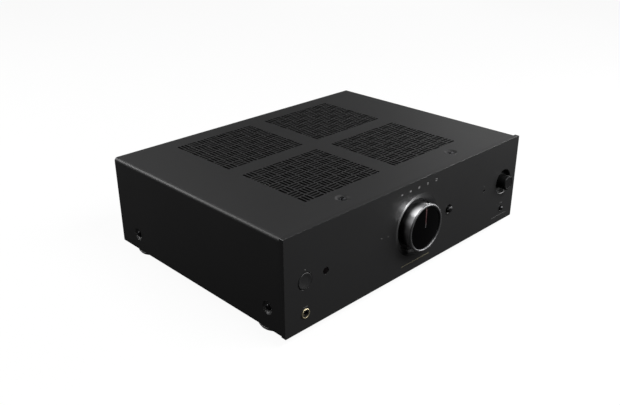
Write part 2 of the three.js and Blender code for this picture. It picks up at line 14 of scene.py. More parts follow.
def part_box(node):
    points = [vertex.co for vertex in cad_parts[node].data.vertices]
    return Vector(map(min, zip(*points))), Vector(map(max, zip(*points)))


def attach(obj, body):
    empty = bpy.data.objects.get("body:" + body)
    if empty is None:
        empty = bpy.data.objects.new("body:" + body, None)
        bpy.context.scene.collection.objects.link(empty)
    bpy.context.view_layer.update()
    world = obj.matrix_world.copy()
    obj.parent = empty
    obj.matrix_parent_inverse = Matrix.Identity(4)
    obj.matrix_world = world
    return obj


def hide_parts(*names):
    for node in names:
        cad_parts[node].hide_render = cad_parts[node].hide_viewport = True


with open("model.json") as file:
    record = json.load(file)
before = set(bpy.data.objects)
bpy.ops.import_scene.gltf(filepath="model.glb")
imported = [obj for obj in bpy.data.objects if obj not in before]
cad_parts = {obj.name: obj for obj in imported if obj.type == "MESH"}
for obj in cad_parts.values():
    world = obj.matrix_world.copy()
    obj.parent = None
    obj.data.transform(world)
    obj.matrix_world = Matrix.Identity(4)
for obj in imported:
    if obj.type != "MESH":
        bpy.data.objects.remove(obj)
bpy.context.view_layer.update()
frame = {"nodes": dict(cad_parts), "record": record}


NODES = frame["nodes"]
PANEL_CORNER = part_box("front_panel")[0]     # metres
Y_FACE = PANEL_CORNER.y * 1000.0            # the front plate's face in the frame
SIDES = (("left", -1), ("right", 1))
ENDS = ("front", "rear")

Point = namedtuple("Point", "x y z")


def cad_box(node):
    """The lower and upper corners of a CAD node's box."""
    return [Point(c.x * 1000, c.y * 1000 - Y_FACE, c.z * 1000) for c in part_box(node)]


def cad_centre(node):
    return Point(*((low + high) / 2 for low, high in zip(*cad_box(node))))


def on_face(x, z):
    """A centre for shapes that lie across y."""
    return Point(x, 0.0, z)


def to_world(point):
    """This script's millimetres to the frame's metres."""
    return (point[0] / 1000.0, (point[1] + Y_FACE) / 1000.0, point[2] / 1000.0)


knob = cad_centre("volume_knob")
selector = cad_centre("selector_knob")
power = cad_centre("power_button")
mute = cad_centre("mute_button")
pairing = cad_centre("pairing_button")
jack = cad_centre("headphone_jack")
sensor = cad_centre("ir_window")
indicator = cad_centre("status_light_pipe")

# ------------------------------------------------------------------ shader helpers
MATERIALS = {}


def set_inputs(tree, shader_node, inputs):
    """Gives each input a plain value, or links it to the output socket that feeds it."""
    for key, value in inputs.items():
        if isinstance(value, bpy.types.NodeSocket):
            tree.links.new(value, shader_node.inputs[key])
        else:
            shader_node.inputs[key].default_value = value


def add_node(tree, kind, inputs=None, **settings):
    made = tree.nodes.new("ShaderNode" + kind)
    for key, value in settings.items():
        setattr(made, key, value)
    set_inputs(tree, made, inputs or {})
    return made


def new_material(name):
    """An empty material with a Principled shader; returns its tree and the shader."""
    material = bpy.data.materials.new(name)
    material.use_nodes = True
    tree = material.node_tree
    tree.nodes.clear()
    shader = add_node(tree, "BsdfPrincipled")
    add_node(tree, "OutputMaterial", {0: shader.outputs[0]})
    MATERIALS[name] = material
    return tree, shader


def map_range(tree, value, to_min, to_max, from_min=0.0, from_max=1.0, **settings):
    inputs = {"Value": value, "From Min": from_min, "From Max": from_max,
              "To Min": to_min, "To Max": to_max}
    return add_node(tree, "MapRange", inputs, **settings).outputs[0]


def multiply(tree, first, second):
    return add_node(tree, "Math", {0: first, 1: second}, operation="MULTIPLY").outputs[0]


def mix_colour(tree, factor, first, second, **settings):
    inputs = {0: factor, 6: first, 7: second}
    return add_node(tree, "Mix", inputs, data_type="RGBA", **settings).outputs[2]


def bump_normal(tree, height, depth):
    """Surface relief of a depth in mm."""
    inputs = {"Strength": 1.0, "Distance": depth / 1000.0, "Height": height}
    return add_node(tree, "Bump", inputs).outputs[0]


def surface(name, colour, rough, metal=0.0, grain=0.35, bump=0.02, vary=0.12, rough_vary=0.05,
            blotch=45.0, blotch_vary=0.08, edge=0.0, edge_width=0.4, coat=0.0, coat_rough=0.1,
            specular=0.5, transmission=0.0, stretch=(1, 1, 1)):
    """A procedural finish. grain is the size of the fine texture, bump its height and vary its
    colour change; blotch is the size of the slow variation and blotch_vary its colour change;
    edge lightens worn edges over edge_width; stretch scales the fine texture's axes."""
    tree, shader = new_material(name)
    coords = add_node(tree, "TexCoord").outputs["Object"]
    mapping = add_node(tree, "Mapping", {"Vector": coords, "Scale": stretch})
    fine = add_node(tree, "TexNoise", {
        "Vector": mapping.outputs[0], "Scale": 1000.0 / grain * 0.5,
        "Detail": 3.0, "Roughness": 0.55}).outputs["Fac"]
    slow = add_node(tree, "TexNoise", {
        "Vector": coords, "Scale": 1000.0 / blotch * 0.5, "Detail": 4.0}).outputs["Fac"]
    shade = multiply(tree, map_range(tree, fine, 1 - vary, 1 + vary),
                     map_range(tree, slow, 1 - blotch_vary, 1 + blotch_vary))
    base = mix_colour(tree, 1.0, (*colour, 1), shade, blend_type="MULTIPLY")
    if edge > 0:
        softened = add_node(tree, "Bevel", {"Radius": edge_width / 1000.0}, samples=4)
        geometry = add_node(tree, "NewGeometry")
        facing = add_node(tree, "VectorMath", {
            0: softened.outputs[0], 1: geometry.outputs["Normal"]}, operation="DOT_PRODUCT")
        wear = map_range(tree, facing.outputs["Value"], 0.0, edge, 0.985, 0.85)
        worn = [min(1, c * 4 + 0.03) for c in colour]
        base = mix_colour(tree, wear, base, (*worn, 1))
    set_inputs(tree, shader, {
        "Base Color": base,
        "Roughness": map_range(tree, slow, max(0.02, rough - rough_vary),
                               min(1.0, rough + rough_vary)),
        "Metallic": metal, "Specular IOR Level": specular, "IOR": 1.5,
        "Transmission Weight": transmission})
    if coat:
        set_inputs(tree, shader, {"Coat Weight": coat, "Coat Roughness": coat_rough})
    if bump:
        set_inputs(tree, shader, {"Normal": bump_normal(tree, fine, bump)})


def turned(name, colour, rough, centre, pitch=0.25, bump=0.006, metal=1.0, vary=0.06,
           specular=0.5, anisotropy=0.0):
    """Metal turned on a lathe: fine rings, a pitch apart, about a y axis through centre."""
    tree, shader = new_material(name)
    coords = add_node(tree, "TexCoord").outputs["Object"]
    offset = add_node(tree, "VectorMath", {
        0: coords, 1: to_world(on_face(centre.x, centre.z))}, operation="SUBTRACT").outputs[0]
    across = add_node(tree, "VectorMath", {0: offset, 1: (1, 0, 1)}, operation="MULTIPLY")
    radius = add_node(tree, "VectorMath", {0: across.outputs[0]}, operation="LENGTH")
    along = add_node(tree, "SeparateXYZ", {0: offset})
    travel = add_node(tree, "Math", {0: radius.outputs["Value"], 1: along.outputs["Y"]},
                      operation="ADD")
    rings = add_node(tree, "TexNoise", {
        "W": travel.outputs[0], "Scale": 1000.0 / pitch * 0.5, "Detail": 4.0},
        noise_dimensions="1D").outputs["Fac"]
    base = mix_colour(tree, 1.0, (*colour, 1), map_range(tree, rings, 1 - vary, 1 + vary),
                      blend_type="MULTIPLY")
    set_inputs(tree, shader, {
        "Base Color": base,
        "Roughness": map_range(tree, rings, max(0.02, rough * 0.85), rough * 1.15),
        "Metallic": metal, "Specular IOR Level": specular,
        "Normal": bump_normal(tree, rings, bump)})
    if anisotropy:
        tangent = add_node(tree, "Tangent", direction_type="RADIAL", axis="Y")
        set_inputs(tree, shader, {"Tangent": tangent.outputs[0], "Anisotropic": anisotropy,
                                  "Anisotropic Rotation": 0.25})
    return tree, shader


# ------------------------------------------------------------------ shape helpers
# A shape is a pair: its points and its faces.
def solid(name, shape, finish, slot=None, replaces=None, body="chassis", angle=35.0,
          normals=None, face_finish=None):
    """Makes an object of a shape. finish is one material's name or several; face_finish tells
    each face which. Edges sharper than angle stay sharp unless loop normals are given."""
    verts, faces = shape
    mesh = bpy.data.meshes.new(name)
    mesh.from_pydata([to_world(v) for v in verts], [], faces)
    mesh.update()
    mesh.polygons.foreach_set("use_smooth", [True] * len(mesh.polygons))
    if normals is not None:
        mesh.normals_split_custom_set(normals)
    else:
        mesh.set_sharp_from_angle(angle=math.radians(angle))
    made = bpy.data.objects.new(name, mesh)
    bpy.context.scene.collection.objects.link(made)
    for material in [finish] if isinstance(finish, str) else finish:
        mesh.materials.append(MATERIALS[material])
    if face_finish:
        mesh.polygons.foreach_set("material_index", face_finish)
    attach(made, body)
    if replaces:
        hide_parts(replaces)
    return made


def add_bevel(target, width, segments=2, angle=35):
    bevel = target.modifiers.new("bevel", "BEVEL")
    bevel.width = width / 1000.0
    bevel.segments = segments
    bevel.limit_method = "ANGLE"
    bevel.angle_limit = math.radians(angle)


def outward(verts, faces):
    """The shape with its faces turned outwards, settled by the sign of its volume."""
    volume = 0.0
    for face in faces:
        a = verts[face[0]]
        for i in range(1, len(face) - 1):
            b, c = verts[face[i]], verts[face[i + 1]]
            volume += (a[0] * (b[1] * c[2] - b[2] * c[1]) + a[1] * (b[2] * c[0] - b[0] * c[2])
                       + a[2] * (b[0] * c[1] - b[1] * c[0]))
    return verts, faces if volume / 6 >= 0 else [tuple(reversed(f)) for f in faces]


def band(first, second):
    """Quads between two rings of point indices."""
    count = len(first)
    return [(first[i], first[(i + 1) % count], second[(i + 1) % count], second[i])
            for i in range(count)]


def joined(shapes):
    verts, faces = [], []
    for more_verts, more_faces in shapes:
        start = len(verts)
        verts += more_verts
        faces += [tuple(i + start for i in face) for face in more_faces]
    return verts, faces


def rounded(profile, radii, steps=4, closed=False):
    """Rounds a polyline's corners, one radius per point; an open line's ends stay."""
    count = len(profile)
    out = []
    for i, corner in enumerate(profile):
        if (not closed and i in (0, count - 1)) or radii[i] <= 0:
            out.append(corner)
            continue
        before, after = profile[i - 1], profile[(i + 1) % count]
        back = Vector((before[0] - corner[0], before[1] - corner[1]))
        ahead = Vector((after[0] - corner[0], after[1] - corner[1]))
        if back.length < 1e-9 or ahead.length < 1e-9:
            out.append(corner)
            continue
        angle = back.angle(ahead)
        if angle > math.pi - 0.02:
            out.append(corner)
            continue
        cut = min(radii[i] / math.tan(angle / 2), back.length * 0.49, ahead.length * 0.49)
        back, ahead = back.normalized(), ahead.normalized()
        start, end = Vector(corner) + back * cut, Vector(corner) + ahead * cut
        radius = cut * math.tan(angle / 2)
        centre = Vector(corner) + (back + ahead).normalized() * (radius / math.sin(angle / 2))
        for k in range(steps + 1):
            point = start.lerp(end, k / steps)
            spoke = point - centre
            if spoke.length > 1e-9:
                point = centre + spoke.normalized() * radius
            out.append((point.x, point.y))
    return out


def rounded_ring(profile, radii, steps=4):
    """A closed profile for the lathe, with every corner rounded."""
    ring = rounded(profile, radii, steps, closed=True)
    return ring + [ring[0]]


# Places a point at radius r, angle t and height h along the axis.
ON_AXIS = {
    "X": lambda c, r, h, t: (h, c[1] + r * math.cos(t), c[2] + r * math.sin(t)),
    "Y": lambda c, r, h, t: (c[0] + r * math.cos(t), h, c[2] + r * math.sin(t)),
    "Z": lambda c, r, h, t: (c[0] + r * math.cos(t), c[1] + r * math.sin(t), h),
}


def lathe(axis, centre, profile, count=64, radius_at=None):
    """Turns a profile of (radius, height along the axis), closed on the axis or on itself.
    radius_at(radius, height, angle) may change the radius round the turn."""
    place = ON_AXIS[axis]
    (r0, h0), (r1, h1) = profile[0], profile[-1]
    closed = abs(r0 - r1) < 1e-9 and abs(h0 - h1) < 1e-9
    verts, rings = [], []
    for r, h in profile[:-1] if closed else profile:
        start = len(verts)
        if r < 1e-6:
            verts.append(place(centre, 0, h, 0))
        else:
            for i in range(count):
                t = 2 * math.pi * i / count
                verts.append(place(centre, radius_at(r, h, t) if radius_at else r, h, t))
        rings.append(list(range(start, len(verts))))
    faces = []
    for a, b in list(zip(rings, rings[1:])) + ([(rings[-1], rings[0])] if closed else []):
        if len(a) == 1 and len(b) == 1:
            continue
        if len(a) == 1:
            faces += [(a[0], b[(i + 1) % count], b[i]) for i in range(count)]
        elif len(b) == 1:
            faces += [(a[i], a[(i + 1) % count], b[0]) for i in range(count)]
        else:
            faces += band(a, b)
    return outward(verts, faces)


def block(low, high, radius=0.3, steps=2):
    """A box with rounded edges, from its lower corner to its upper one."""
    x0, y0, z0 = low
    x1, y1, z1 = high
    r = min(radius, (x1 - x0) * 0.45, (y1 - y0) * 0.45, (z1 - z0) * 0.45)
    easing = []
    for i in range(steps + 1):
        t = math.pi / 2 * i / steps
        easing.append((r * (1 - math.sin(t)), r * (1 - math.cos(t))))
    levels = [(inset, z0 + rise) for inset, rise in easing]
    levels += [(inset, z1 - rise) for inset, rise in reversed(easing)]
    verts, rings = [], []
    for inset, z in levels:
        corner = max(r - inset, 0.001)
        start = len(verts)
        for x, y, turn in ((x1 - r, y1 - r, 0), (x0 + r, y1 - r, 90),
                           (x0 + r, y0 + r, 180), (x1 - r, y0 + r, 270)):
            for k in range(steps + 1):
                t = math.radians(turn + 90 * k / steps)
                verts.append((x + corner * math.cos(t), y + corner * math.sin(t), z))
        rings.append(list(range(start, len(verts))))
    faces = [quad for a, b in zip(rings, rings[1:]) for quad in band(a, b)]
    return verts, faces + [tuple(reversed(rings[0])), tuple(rings[-1])]


def prism(outline, axis, start, end):
    """An outline in the plane across the axis, drawn out along it."""
    count = len(outline)
    put = {"X": lambda p, h: (h, *p), "Y": lambda p, h: (p[0], h, p[1]),
           "Z": lambda p, h: (*p, h)}[axis]
    verts = [put(p, start) for p in outline] + [put(p, end) for p in outline]
    faces = [tuple(range(count)), tuple(reversed(range(count, 2 * count)))]
    for i in range(count):
        j = (i + 1) % count
        faces.append((j, i, count + i, count + j))
    return outward(verts, faces)


def circle(x, y, radius, count, turn=0.0):
    angles = [turn + 2 * math.pi * i / count for i in range(count)]
    return [(x + radius * math.cos(t), y + radius * math.sin(t)) for t in angles]


def fill(outer, holes, rings=(), lines=()):
    """Triangulates the outer loop less its holes, keeping rings and lines as edges.
    Returns the points, the triangles and the point indices of every loop."""
    points, edges, hole_faces = [], [], []

    def add_loop(outline):
        start, count = len(points), len(outline)
        points.extend(Vector(p) for p in outline)
        edges.extend((start + i, start + (i + 1) % count) for i in range(count))
        return list(range(start, start + count))

    loops = [add_loop(outer)]
    for hole in holes:
        hole_faces.append(add_loop(hole))
    loops += hole_faces
    for ring in rings:
        add_loop(ring)
    for line in lines:
        start = len(points)
        points.extend(Vector(p) for p in line)
        edges.extend((start + i, start + i + 1) for i in range(len(line) - 1))
    flat, _, faces, sources, _, face_sources = delaunay_2d_cdt(
        points, edges, hole_faces, 1, 1e-6)
    tris = []
    for tri, in_hole in zip(faces, face_sources):
        if in_hole:
            continue
        a, b, c = (flat[i] for i in tri)
        if (b.x - a.x) * (c.y - a.y) - (b.y - a.y) * (c.x - a.x) < 0:
            tri = (tri[0], tri[2], tri[1])
        tris.append(tuple(tri))
    renumbered = {}
    for i, olds in enumerate(sources):
        for old in olds:
            renumbered.setdefault(old, i)
    return [(p.x, p.y) for p in flat], tris, [[renumbered[i] for i in loop] for loop in loops]


# ------------------------------------------------------------------ folded sheet metal
class Fold:
    """Sheet with both sides bent down (way -1) or up (way 1) from a flat middle.
    On the blank, u runs across and v is y."""

    def __init__(self, half_width, radius, z_flat, way):
        self.half_width, self.radius = half_width, radius
        self.z_flat, self.way = z_flat, way
        self.flat = half_width - radius
        self.arc = radius * math.pi / 2

    def blank_u(self, z):
        """How far out on the blank a height on the bent side lies."""
        return self.flat + self.arc + (self.way * (z - self.z_flat) - self.radius)

    def bend_lines(self, steps):
        return [s * (self.flat + self.arc * k / steps) for s in (-1, 1) for k in range(steps + 1)]

    def place(self, u, v):
        """The bent point, its outward normal and the direction of growing u."""
        past, side = abs(u) - self.flat, (1 if u >= 0 else -1)
        radius, z, way = self.radius, self.z_flat, self.way
        if past <= 0:
            return (u, v, z), (0, 0, -way), (1, 0, 0)
        if past <= self.arc:
            sin, cos = math.sin(past / radius), math.cos(past / radius)
            return ((side * (self.flat + radius * sin), v, z + way * (radius - radius * cos)),
                    (side * sin, 0, -way * cos), (cos, 0, way * side * sin))
        return ((side * self.half_width, v, z + way * (radius + (past - self.arc))),
                (side, 0, 0), (0, 0, way * side))


def smoothstep(t):
    t = max(0.0, min(1.0, t))
    return t * t * (3 - 2 * t)


def pressed(u, v, dimples):
    """The depth pressed into the sheet at a point of the blank, and its slope along u and v."""
    depth, slope_u, slope_v = 0.0, 0.0, 0.0
    for centre_u, centre_v, inner, outer, full in dimples:
        q = math.hypot(u - centre_u, v - centre_v)
        if q < outer:
            s = (q - inner) / (outer - inner)
            depth = full * (1 - smoothstep(s))
            if q > inner:
                slope = full * 6 * s * (1 - s) / (outer - inner)
                slope_u, slope_v = slope * (u - centre_u) / q, slope * (v - centre_v) / q
    return depth, slope_u, slope_v


def sheet(name, fold, v_ends, edge_z, thick, holes, dimples, bend_steps, finish, slot,
          replaces, painted_shade_wall=None):
    """A folded blank with holes and dimples of (u, v, inner radius, outer radius, depth).
    Cut walls where painted_shade_wall(point) holds take the second finish, a near-black painted shade."""
    v0, v1 = v_ends
    edge = fold.blank_u(edge_z)
    blank = [(-edge, v0), (edge, v0), (edge, v1), (-edge, v1)]
    rings = [circle(u, v, inner + (outer - inner) * k / 6, 28)
             for u, v, inner, outer, _ in dimples for k in range(7)]
    lines = [[(u, v0), (u, v1)] for u in fold.bend_lines(bend_steps)]
    points, tris, _ = fill(blank, holes, rings, lines)
    used = sorted({i for tri in tris for i in tri})
    renumbered = {old: new for new, old in enumerate(used)}
    points = [points[i] for i in used]
    tris = [tuple(renumbered[i] for i in tri) for tri in tris]

    outer_side, inner_side, point_normals = [], [], []
    along_v = Vector((0, 1, 0))
    for u, v in points:
        point, normal, along_u = (Vector(p) for p in fold.place(u, v))
        depth, slope_u, slope_v = pressed(u, v, dimples)
        outer_side.append(tuple(point - normal * depth))
        inner_side.append(tuple(point - normal * (depth + thick)))
        point_normals.append((normal - along_u * slope_u - along_v * slope_v).normalized())
    count = len(outer_side)
    verts = outer_side + inner_side
    a, b, c = (Vector(outer_side[i]) for i in tris[0])
    flip = (b - a).cross(c - a).dot(point_normals[tris[0][0]]) < 0
    faces, normals, face_finish = [], [], []
    for tri in tris:
        swapped = (tri[0], tri[2], tri[1])
        front, back = (swapped, tri) if flip else (tri, swapped)
        faces += [front, tuple(i + count for i in back)]
        normals += [tuple(point_normals[i]) for i in front]
        normals += [tuple(-point_normals[i]) for i in back]
        face_finish += [0, 0]
    directed = {(t[i], t[(i + 1) % 3]): None for t in tris for i in range(3)}
    for a, b in directed:
        if (b, a) in directed:
            continue
        wall = (a, b, b + count, a + count) if flip else (b, a, a + count, b + count)
        p, q, r = (Vector(verts[i]) for i in wall[:3])
        faces.append(wall)
        normals += [tuple((q - p).cross(r - q).normalized())] * 4
        face_finish.append(1 if painted_shade_wall and painted_shade_wall(points[a]) else 0)
    solid(name, (verts, faces), finish, slot, replaces, normals=normals,
          face_finish=face_finish)


def slot_outline(x, y, length, width, along, steps):
    """A round-ended slot, lying along u or v."""
    radius, half = width / 2, length / 2 - width / 2
    points = []
    for side in (1, -1):
        for k in range(steps + 1):
            t = -side * math.pi / 2 + math.pi * k / steps
            points.append((side * half + radius * math.cos(t), radius * math.sin(t)))
    if along == "u":
        return [(x + a, y + b) for a, b in points]
    return [(x - b, y + a) for a, b in points]


# ------------------------------------------------------------------ flat plates
# A plate outline is a function of the inset that gives (x, z, normal x, normal z) per point.
def round_rect(x0, z0, x1, z1, corner, steps=5):
    def at(inset):
        radius, out = corner - inset, []
        for x, z, turn in ((x1 - corner, z0 + corner, -90), (x1 - corner, z1 - corner, 0),
                           (x0 + corner, z1 - corner, 90), (x0 + corner, z0 + corner, 180)):
            for k in range(steps + 1):
                t = math.radians(turn + 90 * k / steps)
                cos, sin = math.cos(t), math.sin(t)
                out.append((x + radius * cos, z + radius * sin, cos, sin))
        return out
    return at


def centred_rect(centre, half_x, half_z, corner):
    return round_rect(centre.x - half_x, centre.z - half_z,
                      centre.x + half_x, centre.z + half_z, corner, 4)


def disc(centre, radius, count):
    spokes = [(math.cos(2 * math.pi * i / count), math.sin(2 * math.pi * i / count))
              for i in range(count)]
    return lambda inset: [(centre.x + (radius - inset) * cos, centre.z + (radius - inset) * sin,
                           cos, sin) for cos, sin in spokes]


def fixed_outline(points):
    return lambda inset: [(x, z, 0, 0) for x, z in points]


def xz(outline):
    return [p[:2] for p in outline]


def plate_shape(outer, holes, y_face, y_back, ease, steps):
    """A plate whose face edge is eased. holes are (outline, rounding) with the rounding's depth
    as a third value where it differs from its width. Returns the shape and its loop normals."""
    way = 1 if y_back > y_face else -1
    holes = [(at, width, depth[0] if depth else width) for at, width, *depth in holes]
    verts, faces, normals = [], [], []

    def emit(face, face_normals):
        if way < 0:
            face, face_normals = face[::-1], face_normals[::-1]
        faces.append(face)
        normals.extend(face_normals)

    def flat(outlines, y, is_face):
        points, tris, loops = fill(outlines[0], outlines[1:])
        start = len(verts)
        verts.extend((x, y, z) for x, z in points)
        for tri in tris:
            tri = tuple(start + i for i in tri)
            emit(tri if is_face else tri[::-1], [(0, -way if is_face else way, 0)] * 3)
        return [[start + i for i in loop] for loop in loops]

    def walls(face_loop, back_loop, at, width, depth, out):
        # out is 1 round the outline and -1 inside a hole
        side = [(out * p[2], 0, out * p[3]) for p in at(0)]
        rings = [(face_loop, [(0, -way, 0)] * len(face_loop) if width > 0 else side)]
        for k in range(1, steps + 1) if width > 0 else ():
            t = math.pi / 2 * k / steps
            points = at(out * width * (1 - math.sin(t)))
            start = len(verts)
            y = y_face + way * depth * (1 - math.cos(t))
            verts.extend((p[0], y, p[1]) for p in points)
            across, facing = depth * math.sin(t), width * math.cos(t)
            size = math.hypot(across, facing)
            across, facing = across / size, facing / size
            rings.append((list(range(start, len(verts))),
                          [(out * p[2] * across, -way * facing, out * p[3] * across)
                           for p in points]))
        rings.append((back_loop, side))
        for (loop_a, normals_a), (loop_b, normals_b) in zip(rings, rings[1:]):
            for i in range(len(loop_a)):
                j = (i + 1) % len(loop_a)
                quad = [(loop_a[i], normals_a[i]), (loop_a[j], normals_a[j]),
                        (loop_b[j], normals_b[j]), (loop_b[i], normals_b[i])]
                if out > 0:
                    quad = [quad[0], quad[3], quad[2], quad[1]]
                emit(tuple(q[0] for q in quad), [q[1] for q in quad])

    face_loops = flat([xz(outer(ease))] + [xz(at(-width)) for at, width, _ in holes],
                      y_face, True)
    back_loops = flat([xz(outer(0))] + [xz(at(0)) for at, *_ in holes], y_back, False)
    walls(face_loops[0], back_loops[0], outer, ease, ease, 1)
    for k, (at, width, depth) in enumerate(holes, 1):
        walls(face_loops[k], back_loops[k], at, width, depth, -1)
    return (verts, faces), normals


def plate(name, outer, holes, y_face, y_back, ease, steps, finish, slot, replaces):
    shape, normals = plate_shape(outer, holes, y_face, y_back, ease, steps)
    return solid(name, shape, finish, slot, replaces, normals=normals)


def bar(x0, x1, z0, z1, corner=0.12):
    corner = min(corner, (x1 - x0) * 0.49, (z1 - z0) * 0.49)
    return xz(round_rect(x0, z0, x1, z1, corner, 2)(0))


def bars(x, z, rows):
    """Bars placed from (x, z). Rows: x0, x1, z0, z1 and, where given, the corner radius."""
    return [bar(x + x0, x + x1, z + z0, z + z1, *corner) for x0, x1, z0, z1, *corner in rows]


# ------------------------------------------------------------------ screws
def screw_shape(centre, axis, sign, radius=3.3, height=1.5, shank=1.4, length=4.0):
    """A pan-head screw with a cross recess; centre is under the head, which stands along
    sign * axis."""
    arm, half, depth, count = 1.75, 0.42, 0.95, 40      # cross recess, and points round the head
    cross = [(arm, -half), (arm, half), (half, half), (half, arm), (-half, arm), (-half, half),
             (-arm, half), (-arm, -half), (-half, -half), (-half, -arm), (half, -arm),
             (half, -half)]
    points, tris, (ring, recess) = fill(circle(0, 0, radius * 0.72, count), [cross])
    verts = [(x, y, height) for x, y in points]
    faces = list(tris)
    start = len(verts)
    verts += [(x * 0.8, y * 0.8, height - depth) for x, y in cross]
    floor_ring = list(range(start, start + len(cross)))
    faces += band(recess, floor_ring)
    faces.append(tuple(floor_ring))
    for r, z in [(radius * 0.86, height * 0.9), (radius * 0.96, height * 0.66),
                 (radius, height * 0.38), (radius, 0.06), (radius - 0.06, 0.0),
                 (shank, 0.0), (shank, -length)]:
        start = len(verts)
        verts += [(x, y, z) for x, y in circle(0, 0, r, count)]
        below = list(range(start, start + count))
        for i in range(count):
            j = (i + 1) % count
            faces.append((ring[i], below[i], below[j], ring[j]))
        ring = below
    faces.append(tuple(reversed(ring)))
    x0, y0, z0 = centre
    put = {"X": lambda a, b, c: (x0 + sign * c, y0 + a, z0 + b),
           "Y": lambda a, b, c: (x0 + a, y0 + sign * c, z0 + b),
           "Z": lambda a, b, c: (x0 + a, y0 + b, z0 + sign * c)}[axis]
    # each screw is turned differently, so that no two recesses line up
    turn = math.radians((x0 * 7.3 + z0 * 11.1 + y0 * 3.7) % 90)
    cos, sin = math.cos(turn), math.sin(turn)
    return outward([put(a * cos - b * sin, a * sin + b * cos, c) for a, b, c in verts], faces)


def screw(name, centre, axis, sign, finish="blackened_screw", slot="black_screw",
          replaces=None, **size):
    solid(name, screw_shape(centre, axis, sign, **size), finish, slot, replaces, angle=30)


# ------------------------------------------------------------------ the finishes
# painted, moulded and plated metal parts
surface("anodised_plate", (0.016, 0.016, 0.0163), rough=0.3, grain=0.16, bump=0.0035,
        vary=0.16, rough_vary=0.03, blotch=60, blotch_vary=0.05, edge=0.05)
surface("textured_cover_paint", (0.013, 0.013, 0.0133), rough=0.5, grain=0.55, bump=0.012,
        vary=0.16, blotch=70, blotch_vary=0.06, specular=0.42, edge=0.35, edge_width=0.5)
# painted shade: a near-black finish for the vent slots' cut walls, standing in for the shade inside
# the slots
surface("painted_shade_slot_wall", (0.004, 0.004, 0.004), rough=0.8, grain=0.3, bump=0.004,
        vary=0.2, specular=0.1)
surface("black_painted_steel", (0.012, 0.012, 0.0125), rough=0.5, grain=0.5, bump=0.008,
        vary=0.15, edge=0.3)
surface("zinc_plated_steel", (0.46, 0.47, 0.46), rough=0.34, metal=1.0, grain=0.9, bump=0.004,
        vary=0.07, rough_vary=0.09, blotch=16, blotch_vary=0.16)
surface("blackened_screw", (0.045, 0.045, 0.048), rough=0.34, metal=1.0, grain=0.3,
        bump=0.006, vary=0.2, rough_vary=0.08, edge=0.5, edge_width=0.25)
surface("moulded_black", (0.012, 0.012, 0.0125), rough=0.42, grain=0.22, bump=0.006, edge=0.12)
surface("foot_rubber", (0.010, 0.010, 0.0105), rough=0.75, grain=0.35, bump=0.014, vary=0.2,
        rough_vary=0.1, specular=0.3)
surface("gold_plate", (0.78, 0.53, 0.20), rough=0.22, metal=1.0, grain=0.5, bump=0.002,
        vary=0.05, blotch=6)
surface("bright_nickel", (0.62, 0.61, 0.58), rough=0.2, metal=1.0, grain=0.4, bump=0.002,
        vary=0.05, rough_vary=0.06, blotch=8, blotch_vary=0.07)
surface("copper", (0.72, 0.36, 0.2), rough=0.3, metal=1.0, grain=0.4, bump=0.004, vary=0.1,
        rough_vary=0.06, blotch=8, blotch_vary=0.1)
# print on the front plate
surface("printed_light_grey", (0.17, 0.17, 0.17), rough=0.6, grain=0.2, bump=0.002, vary=0.2)
surface("printed_dim_grey", (0.13, 0.13, 0.13), rough=0.6, grain=0.2, bump=0.002, vary=0.2)
surface("printed_gold", (0.19, 0.175, 0.11), rough=0.5, metal=0.2, grain=0.2, bump=0.002,
        vary=0.2)
# boards and parts inside
surface("solder_mask", (0.012, 0.07, 0.026), rough=0.35, grain=1.3, bump=0.01, vary=0.3,
        coat=0.5, blotch=10, blotch_vary=0.2)
surface("chip_moulding", (0.015, 0.015, 0.016), rough=0.45, grain=0.2, bump=0.006, vary=0.15)
surface("tinned_metal", (0.6, 0.6, 0.58), rough=0.3, metal=1.0, grain=0.5, bump=0.01, vary=0.1)
surface("capacitor_sleeve", (0.012, 0.018, 0.05), rough=0.28, grain=0.5, bump=0.004, vary=0.1,
        coat=0.3, blotch=12, blotch_vary=0.15)
surface("bare_aluminium", (0.68, 0.69, 0.7), rough=0.35, metal=1.0, grain=0.25, bump=0.004,
        vary=0.08, stretch=(1, 1, 12))
surface("black_anodised_extrusion", (0.02, 0.02, 0.021), rough=0.38, metal=0.6, grain=0.3,
        bump=0.006, vary=0.2, stretch=(1, 1, 0.03), edge=0.4, edge_width=0.3)
surface("transformer_tape", (0.36, 0.27, 0.06), rough=0.4, grain=2.2, bump=0.02, vary=0.16,
        coat=0.4, blotch=9, blotch_vary=0.2)
surface("ribbon_grey", (0.42, 0.43, 0.44), rough=0.5, grain=1.27, bump=0.06,
        stretch=(1, 0.02, 0.02))
surface("cable_sleeve", (0.03, 0.03, 0.032), rough=0.55, grain=0.8, bump=0.02, vary=0.2)
# socket insulators, terminal caps, clear parts and the foot rings
surface("white_insulator", (0.72, 0.71, 0.68), rough=0.4, grain=0.3, bump=0.004, vary=0.06)
surface("red_insulator", (0.42, 0.02, 0.018), rough=0.35, grain=0.3, bump=0.004, vary=0.1)
surface("clear_red_cap", (0.30, 0.008, 0.008), rough=0.16, grain=0.6, bump=0.003, coat=0.6,
        coat_rough=0.05, transmission=0.15)
surface("clear_black_cap", (0.010, 0.010, 0.011), rough=0.16, grain=0.6, bump=0.003, coat=0.6,
        coat_rough=0.05)
surface("smoked_window", (0.003, 0.0022, 0.0024), rough=0.15, grain=1.0, bump=0.0, vary=0.1,
        specular=0.15, rough_vary=0.02)
surface("clear_light_pipe", (0.10, 0.10, 0.105), rough=0.12, grain=0.5, bump=0.001, vary=0.1,
        transmission=0.6, rough_vary=0.02)
surface("bright_foot_ring", (0.36, 0.36, 0.365), rough=0.6, metal=0.55, grain=0.3, bump=0.002,
        vary=0.06)
